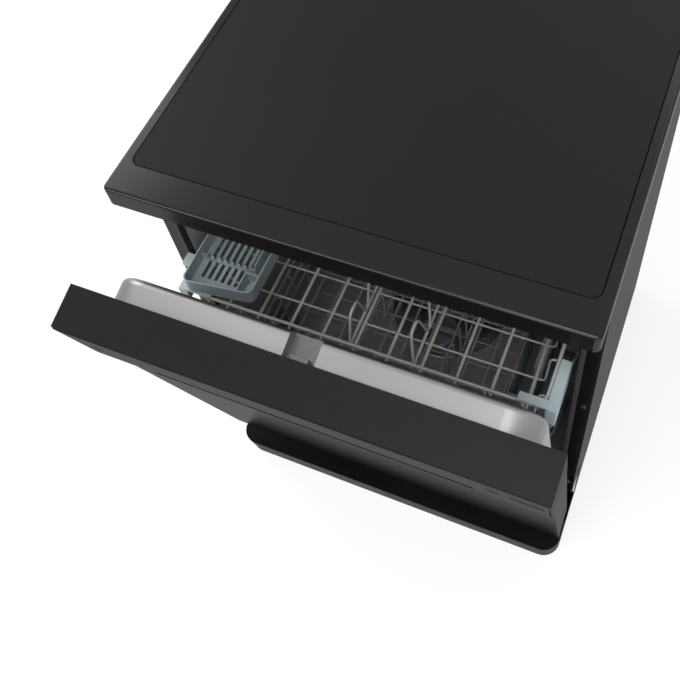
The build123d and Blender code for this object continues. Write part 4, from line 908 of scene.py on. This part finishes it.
def wire_basket(node, long_count, cross_count, rings, shoulder, sizes, coat, heavy):
    """The wires of a rack inside its node's box: bent cross wires, long wires and rim rings."""
    low, high = box_of(node)
    thin, thick, rim, bend = sizes.thin_wire, sizes.heavy_wire, sizes.rim_wire, sizes.wire_bend
    end_margin, side_margin, top_gap, foot_gap = 0.02, 0.012, 0.001, 0.004
    foot_share, cross_bend_share, ring_bend_share = 1.35, 0.7, 1.6
    shoulder_level = high.z - 2 * rim - thin
    floor = low.z + thin
    foot = shoulder * foot_share
    across = [Vector((x, 0.0, z)) for x, z in (
        (low.x + rim, shoulder_level), (low.x + shoulder, shoulder_level), (low.x + foot, floor),
        (high.x - foot, floor), (high.x - shoulder, shoulder_level), (high.x - rim, shoulder_level))]
    values = {f"Corner {i + 1}": corner for i, corner in enumerate(across)}
    values.update({"First": Vector((0.0, low.y + end_margin, 0.0)),
                   "Last": Vector((0.0, high.y - end_margin, 0.0)),
                   "Count": cross_count, "Radius": thin, "Bend": bend * cross_bend_share, "Finish": coat})
    meshes = [baked_mesh(bpy.data.node_groups["bent wires 6"], values)]
    deck = low.z + thick
    along = [Vector((0.0, y, z)) for y, z in (
        (low.y + thick + top_gap, high.z - rim), (low.y + thick + foot_gap, deck),
        (high.y - thick - foot_gap, deck), (high.y - thick - top_gap, high.z - rim))]
    values = {f"Corner {i + 1}": corner for i, corner in enumerate(along)}
    side = foot + side_margin
    values.update({"First": Vector((low.x + side, 0.0, 0.0)), "Last": Vector((high.x - side, 0.0, 0.0)),
                   "Count": long_count, "Radius": thick, "Bend": bend, "Finish": heavy})
    meshes.append(baked_mesh(bpy.data.node_groups["bent wires 4"], values))
    middle = (low + high) / 2
    ring_count, ring_drop = rings
    rim_level = high.z - rim
    meshes.append(baked_mesh(bpy.data.node_groups["ring wires"], {
        "Width": high.x - low.x - 2 * rim, "Length": high.y - low.y - 2 * rim,
        "First": Vector((middle.x, middle.y, rim_level)),
        "Last": Vector((middle.x, middle.y, rim_level - ring_drop)),
        "Count": ring_count, "Radius": rim, "Bend": bend * ring_bend_share, "Finish": coat}))
    return joined(node, meshes)


class DISHWASHER_OT_upper_rack(bpy.types.Operator):
    """Bend the upper rack's wires and round its brackets, slides and duct"""
    bl_idname = "dishwasher.upper_rack"
    bl_label = "Upper rack"

    def execute(self, context):
        sizes = context.scene.dishwasher_sizes
        bent_wires_tree(4)
        bent_wires_tree(6)
        ring_wires_tree()
        shoulder, rings = 0.013, (1, 0.0)
        basket = wire_basket("upper_rack_wires", sizes.upper_long_wires, sizes.upper_cross_wires, rings,
                             shoulder, sizes, finishes["wire_grey"], finishes["row_wire"])
        put("upper_rack_wires_piece", basket, "upper_rack", "wire_grey", "upper_rack_wires")
        soften_all((("rack_corner_brackets", 0.0012), ("rack_slide_bars", 0.0008), ("running_slides", 0.0006),
                    ("fixed_slides", 0.0006), ("upper_spray_duct", 0.0008)))
        return {"FINISHED"}


def wheel_profile(radius, width):
    """Half of a wheel's section: bore, hub, dished web and rounded tyre, as (radius, height) points."""
    bore, hub, edge, dish, back_dish = 0.00405, 0.0065, 0.001, 0.0012, 0.002
    tyre_height, rim_height = 0.0028, 0.004
    flank, web, deep = radius - tyre_height, radius - rim_height, width - back_dish
    return [(bore, 0.0), (hub, 0.0), (hub, dish), (web, dish), (flank, 0.0), (radius - edge, 0.0),
            (radius, edge), (radius, width - edge), (radius - edge, width), (flank, width), (web, deep),
            (hub + edge, deep), (hub, width), (bore, width), (bore, 0.0)]


class DISHWASHER_OT_lower_rack(bpy.types.Operator):
    """Bend the lower rack's wires and turn its wheels"""
    bl_idname = "dishwasher.lower_rack"
    bl_label = "Lower rack"

    def execute(self, context):
        sizes = context.scene.dishwasher_sizes
        shoulder, wheel_width, rings = 0.010, 0.009, (3, 0.068)
        basket = wire_basket("lower_rack_wires", sizes.lower_long_wires, sizes.lower_cross_wires, rings,
                             shoulder, sizes, finishes["wire_grey"], finishes["wire_grey"])
        put("lower_rack_wires_piece", basket, "lower_rack", "wire_grey", "lower_rack_wires")
        softened("wheel_carriers", width=0.0008)
        for node, body in (("front_rack_wheels", "front_wheels"), ("back_rack_wheels", "back_wheels")):
            low, high = box_of(node)
            centre = (low + high) / 2
            profile = wheel_profile((high.z - low.z) / 2, wheel_width)
            meshes = []
            for start, facing in ((high.x - wheel_width, 1.0), (low.x + wheel_width, -1.0)):
                meshes.append(turned(profile, finishes["wheel_grey"], Vector((start, centre.y, centre.z)),
                                     Vector((facing, 0.0, 0.0))))
            put(node + "_piece", joined(node, meshes), body, "wheel_grey", node)
        return {"FINISHED"}


class DISHWASHER_OT_folding_rows(bpy.types.Operator):
    """Bend the upper rack's cup rows and set the lower rack's plate tines"""
    bl_idname = "dishwasher.folding_rows"
    bl_label = "Folding rows"

    def execute(self, context):
        waves_tree, tines_tree = wave_row_tree(), tine_row_tree()
        radius, wave_bend, wave_count, tine_count, right_lean = 0.002, 0.009, 6, 12, -0.006
        for node, lean in (("cup_row_left", 0.0), ("cup_row_right", right_lean)):
            low, high = box_of(node)
            start = Vector(((low.x + high.x) / 2, low.y, low.z + radius))
            mesh = baked_mesh(waves_tree, {
                "Start": start, "Length": high.y - low.y, "Waves": wave_count,
                "Rise": high.z - low.z - 2 * radius, "Lean": lean, "Radius": radius, "Rod Radius": radius,
                "Bend": wave_bend, "Finish": finishes["row_wire"]})
            put(node + "_piece", mesh, node, "row_wire", node)
        for node in ("plate_row_left", "plate_row_right"):
            low, high = box_of(node)
            start = Vector(((low.x + high.x) / 2, low.y, low.z + radius))
            mesh = baked_mesh(tines_tree, {
                "Start": start, "Length": high.y - low.y, "Tines": tine_count,
                "Rise": high.z - low.z - radius, "Radius": radius, "Finish": finishes["wire_grey"]})
            put(node + "_piece", mesh, node, "wire_grey", node)
        return {"FINISHED"}


class DISHWASHER_OT_cutlery_holders(bpy.types.Operator):
    """Round the edges of the cutlery tray and the cutlery basket"""
    bl_idname = "dishwasher.cutlery_holders"
    bl_label = "Cutlery holders"

    def execute(self, context):
        soften_all((("cutlery_tray", 0.0005), ("cutlery_basket", 0.0006)))
        return {"FINISHED"}


def crowned_blade(centre, reach, root, tip, bottom, thickness, finish):
    """A spray arm's two blades: flat below, crowned above and rounded at the tips."""
    work = bmesh.new()
    stations, sides, edge_height, floor_share, least = 28, 12, 0.0016, 0.96, 0.0004
    tip_share, root_gain, edge_share, edge_gain, crown_power = 0.55, 0.45, 0.35, 0.65, 0.6
    rings = []
    for step in range(stations + 1):
        x = -reach * math.cos(math.pi * step / stations)
        share = abs(x) / reach
        half = root + (tip - root) * share
        edge = (reach - abs(x)) / tip
        if edge < 1.0:
            half *= math.sqrt(max(0.0, 1.0 - (1.0 - edge) ** 2))
        half = max(half, least)
        crown = tip_share + root_gain * (1.0 - share)
        top = thickness * crown * min(1.0, edge_share + half / tip * edge_gain)
        ring = []
        for side in range(sides + 1):
            turn = math.pi * side / sides
            level = bottom + edge_height + (top - edge_height) * math.sin(turn) ** crown_power
            ring.append(work.verts.new((centre.x + x, centre.y - half * math.cos(turn), level)))
        for across in (half * floor_share, -half * floor_share):
            ring.append(work.verts.new((centre.x + x, centre.y + across, bottom)))
        rings.append(ring)
    for one, other in zip(rings, rings[1:]):
        for i in range(len(one)):
            work.faces.new((one[i], one[(i + 1) % len(one)], other[(i + 1) % len(one)], other[i]))
    for ring in (rings[0], rings[-1]):
        work.faces.new(ring)
    bmesh.ops.recalc_face_normals(work, faces=work.faces)
    return crease(mesh_from(work, "blade", finish))


def nozzle_tree():
    """Round nozzle lips in a row."""
    fields = [("First", "Vector"), ("Last", "Vector"), ("Count", "Int"), ("Lip Radius", "Float"),
              ("Radius", "Float")]
    sheet, given = geometry_sheet("nozzle row", fields)
    lip = round_wire(sheet, circle(sheet, given["Lip Radius"], sides=16), given["Radius"], sides=8)
    return finish_row(sheet, lip, given)


class DISHWASHER_OT_spray_arms(bpy.types.Operator):
    """Shape the two spray arms and their nozzles"""
    bl_idname = "dishwasher.spray_arms"
    bl_label = "Spray arms"

    def execute(self, context):
        tree = nozzle_tree()
        grey = finishes["arm_grey"]
        root, tip, nozzle_margin, socket_depth, edge, rounding = 0.028, 0.017, 0.024, 0.019, 0.001, 0.003
        nozzle_count, lip_radius, lip_wire, lip_lift = 7, 0.0026, 0.0009, 0.0012
        first_share, last_share = 0.78, 0.62
        for node, body, bottom, thickness, hub, bore in (
                ("lower_spray_arm", "lower_arm", 0.211, 0.010, 0.020, 0.01105),
                ("upper_spray_arm", "upper_arm", 0.504, 0.010, 0.018, 0.01005)):
            low, high = box_of(node)
            centre = (low + high) / 2
            reach = (high.x - low.x) / 2
            blade = crowned_blade(centre, reach, root, tip, bottom, thickness, grey)
            if node == "lower_spray_arm":
                ceiling = high.z - socket_depth
                profile = [(0.0, ceiling), (bore, ceiling), (bore, low.z), (hub - edge, low.z),
                           (hub, low.z + edge), (hub, high.z - rounding), (hub - rounding, high.z),
                           (0.0, high.z)]
            else:
                profile = [(0.0, low.z), (hub - rounding, low.z), (hub, low.z + rounding),
                           (hub, high.z - edge), (hub - edge, high.z), (bore, high.z), (bore, bottom),
                           (0.0, bottom)]
            middle = turned(profile, grey, Vector((centre.x, centre.y, 0.0)))
            first_level = bottom + thickness * first_share + lip_lift
            last_level = bottom + thickness * last_share
            rows = []
            for side in (-1, 1):
                first = Vector((centre.x + side * (hub + nozzle_margin), centre.y, first_level))
                last = Vector((centre.x + side * (reach - nozzle_margin), centre.y, last_level))
                rows.append(baked_mesh(tree, {
                    "First": first, "Last": last, "Count": nozzle_count, "Lip Radius": lip_radius,
                    "Radius": lip_wire, "Finish": grey}))
            put(node + "_piece", joined(node, [blade, middle] + rows), body, "arm_grey", node)
        return {"FINISHED"}


class DISHWASHER_OT_filters(bpy.types.Operator):
    """Punch the filter plate and round the filter cup and salt cap"""
    bl_idname = "dishwasher.filters"
    bl_label = "Filters"

    def execute(self, context):
        sizes = context.scene.dishwasher_sizes
        low, high = box_of("filter_plate")
        centre = (low + high) / 2
        can_low, can_high = box_of("filter_cylinder")
        can = (can_low + can_high) / 2
        post_radius, filter_radius = 0.0113, 0.0303
        mesh = baked_mesh(perforated_plate_tree(), {
            "Place": Vector((centre.x, centre.y, low.z)), "Plate Radius": (high.x - low.x) / 2,
            "Post Radius": post_radius, "Filter Place": Vector((can.x - centre.x, can.y - centre.y, 0.0)),
            "Filter Radius": filter_radius, "Thickness": high.z - low.z, "Hole Radius": sizes.plate_hole,
            "Pitch": sizes.plate_pitch, "Finish": finishes["filter_steel"]})
        put("filter_plate_piece", crease(mesh), "cabinet", "filter_steel", "filter_plate")
        soften_all((("filter_cylinder", 0.0006), ("salt_cap", 0.001)))
        return {"FINISHED"}


def thread_profile(length):
    """Half of the inlet's section, a collar and an open threaded port, as (radius, height) points."""
    collar, root, crest, pitch, mouth, mouth_depth = 0.015, 0.0121, 0.0132, 0.0018, 0.0095, 0.012
    collar_start, collar_end, neck, neck_start = 0.03, 0.0355, 0.0122, 0.0357
    first_turn, last_gap, tip, tip_edge = 0.037, 0.0022, 0.0118, 0.0004
    profile = [(0.0, collar_start), (collar, collar_start), (collar, collar_end), (neck, neck_start)]
    level = first_turn
    while level < length - last_gap:
        profile += [(root, level), (crest, level + pitch / 2)]
        level += pitch
    return profile + [(tip, length - tip_edge), (mouth, length), (mouth, length - mouth_depth),
                      (0.0, length - mouth_depth)]


class DISHWASHER_OT_works(bpy.types.Operator):
    """Shape the pumps, valve and gland under the tub"""
    bl_idname = "dishwasher.works"
    bl_label = "Pumps and valve"

    def execute(self, context):
        soften_all((("softener_tank", 0.004), ("drain_pump", 0.001), ("circulation_pump", 0.001),
                    ("cable_gland", 0.0006)), segments=3)
        low, high = box_of("inlet_valve")
        centre = (low + high) / 2
        port_level, block_depth, block_edge = 0.05, 0.032, 0.003
        white = finishes["valve_white"]
        thread = turned(thread_profile(high.y - low.y), white, Vector((centre.x, low.y, port_level)),
                        Vector((0.0, 1.0, 0.0)))
        block = bmesh.new()
        bmesh.ops.create_cube(block, size=1.0)
        size = Vector((high.x - low.x, block_depth, high.z - low.z))
        bmesh.ops.scale(block, vec=size, verts=block.verts)
        middle = Vector((centre.x, low.y + block_depth / 2, centre.z))
        bmesh.ops.translate(block, vec=middle, verts=block.verts)
        bmesh.ops.bevel(block, geom=block.edges[:], offset=block_edge, segments=3, profile=0.5, affect="EDGES")
        valve = joined("inlet_valve", [crease(mesh_from(block, "valve", white)), thread])
        put("inlet_valve_piece", valve, "cabinet", "valve_white", "inlet_valve")
        return {"FINISHED"}


# The stage


def seen_directly(sheet):
    """Is 1 where the camera sees a surface by itself, or in or through another."""
    rays = sheet.add("ShaderNodeLightPath").outputs
    return sheet.math("MAXIMUM", rays["Is Camera Ray"],
                      sheet.math("MAXIMUM", rays["Is Glossy Ray"], rays["Is Transmission Ray"]))


def pale_floor():
    """A floor that looks white and keeps the object's shadow."""
    material = bpy.data.materials.new("pale_floor")
    material.use_nodes = True
    sheet = Sheet(material.node_tree)
    sheet.tree.nodes.clear()
    most_glow, paint_grey = 0.72, 0.86
    glow_share = sheet.math("MULTIPLY", seen_directly(sheet), most_glow)
    paint = sheet.out("ShaderNodeBsdfDiffuse", {"Color": (paint_grey, paint_grey, paint_grey, 1.0)})
    glow = sheet.out("ShaderNodeEmission", {"Color": (1.0, 1.0, 1.0, 1.0), "Strength": 1.0})
    both = sheet.out("ShaderNodeMixShader", {0: glow_share, 1: paint, 2: glow})
    sheet.add("ShaderNodeOutputMaterial", {0: both})
    return material


def studio_world():
    """A white world that lights the object a little less than it shows."""
    world = bpy.data.worlds.new("studio")
    world.use_nodes = True
    sheet = Sheet(world.node_tree)
    sheet.tree.nodes.clear()
    shown, lighting = 1.0, 0.65
    strength = sheet.math("ADD", sheet.math("MULTIPLY", seen_directly(sheet), shown - lighting), lighting)
    glow = sheet.out("ShaderNodeBackground", {"Color": (1.0, 1.0, 1.0, 1.0), "Strength": strength})
    sheet.add("ShaderNodeOutputWorld", {0: glow})
    return world


def photo_camera():
    """A camera where the photograph was taken from."""
    lens = bpy.data.cameras.new("camera")
    lens.sensor_width = 36.0
    lens.lens = 50.696
    lens.shift_x = -0.044411
    lens.shift_y = -0.184939
    lens.clip_start, lens.clip_end = 0.05, 50.0
    camera = bpy.data.objects.new("camera", lens)
    place = (0.331413, -0.691174, 1.721314)
    right = Vector((0.91962599, 0.38121545, -0.0946722))
    up = Vector((-0.26273676, 0.77616075, 0.57318748))
    back = Vector((0.29198877, -0.50224424, 0.81393691))
    turn = Matrix((right, up, back)).transposed().to_4x4()
    camera.matrix_world = Matrix.Translation(place) @ turn
    return camera


class DISHWASHER_OT_stage(bpy.types.Operator):
    """Set the floor, the soft lights and the camera"""
    bl_idname = "dishwasher.stage"
    bl_label = "Stage"

    def execute(self, context):
        scene = context.scene
        ground = bmesh.new()
        bmesh.ops.create_grid(ground, x_segments=1, y_segments=1, size=12.0)
        floor = bpy.data.objects.new("floor", mesh_from(ground, "floor", pale_floor()))
        scene.collection.objects.link(floor)
        scene.world = studio_world()
        for name, place, aim, size, power in (
                ("key", (0.3, -1.4, 3.1), (0.0, -0.2, 0.6), (1.1, 1.1), 36.0),
                ("near", (1.5, -2.3, 2.5), (0.0, -0.2, 0.6), (1.0, 1.0), 30.0),
                ("front", (-1.1, -2.8, 2.0), (-0.3, -0.3, 0.8), (2.8, 1.0), 62.0),
                ("left", (-2.4, 0.9, 2.5), (0.0, 0.0, 0.6), (1.6, 1.6), 34.0),
                ("back", (0.8, 2.8, 2.6), (0.0, 0.0, 0.5), (1.8, 1.8), 18.0)):
            lamp = bpy.data.lights.new(name, "AREA")
            lamp.shape = "RECTANGLE"
            lamp.size, lamp.size_y = size
            lamp.energy = power
            holder = bpy.data.objects.new(name, lamp)
            holder.location = place
            holder.rotation_euler = (Vector(aim) - Vector(place)).to_track_quat("-Z", "Y").to_euler()
            scene.collection.objects.link(holder)
        camera = photo_camera()
        scene.collection.objects.link(camera)
        scene.camera = camera
        scene.view_settings.view_transform = "Standard"
        return {"FINISHED"}


class DISHWASHER_PT_pieces(bpy.types.Panel):
    """The dishwasher's pieces, in the order in which they are made"""
    bl_idname = "DISHWASHER_PT_pieces"
    bl_label = "Dishwasher"
    bl_space_type = "VIEW_3D"
    bl_region_type = "UI"
    bl_category = "Dishwasher"

    def draw(self, context):
        for step in steps:
            self.layout.operator(step.bl_idname)
        for group in (context.scene.dishwasher_sizes, context.scene.dishwasher_colours):
            for field in group.bl_rna.properties:
                if field.identifier not in ("name", "rna_type"):
                    self.layout.prop(group, field.identifier)


steps = (DISHWASHER_OT_finishes, DISHWASHER_OT_cabinet, DISHWASHER_OT_door, DISHWASHER_OT_screws,
         DISHWASHER_OT_springs, DISHWASHER_OT_upper_rack, DISHWASHER_OT_lower_rack, DISHWASHER_OT_folding_rows,
         DISHWASHER_OT_cutlery_holders, DISHWASHER_OT_spray_arms, DISHWASHER_OT_filters, DISHWASHER_OT_works,
         DISHWASHER_OT_stage)
classes = (DishwasherSizes, DishwasherColours, *steps, DISHWASHER_PT_pieces)


def register():
    for kind in classes:
        bpy.utils.register_class(kind)
    bpy.types.Scene.dishwasher_sizes = bpy.props.PointerProperty(type=DishwasherSizes)
    bpy.types.Scene.dishwasher_colours = bpy.props.PointerProperty(type=DishwasherColours)


def unregister():
    del bpy.types.Scene.dishwasher_colours
    del bpy.types.Scene.dishwasher_sizes
    for kind in reversed(classes):
        bpy.utils.unregister_class(kind)


def main():
    """Make every piece and the stage."""
    register()
    for step in steps:
        family, call = step.bl_idname.split(".")
        getattr(getattr(bpy.ops, family), call)()


if __name__ == "__main__":
    main()
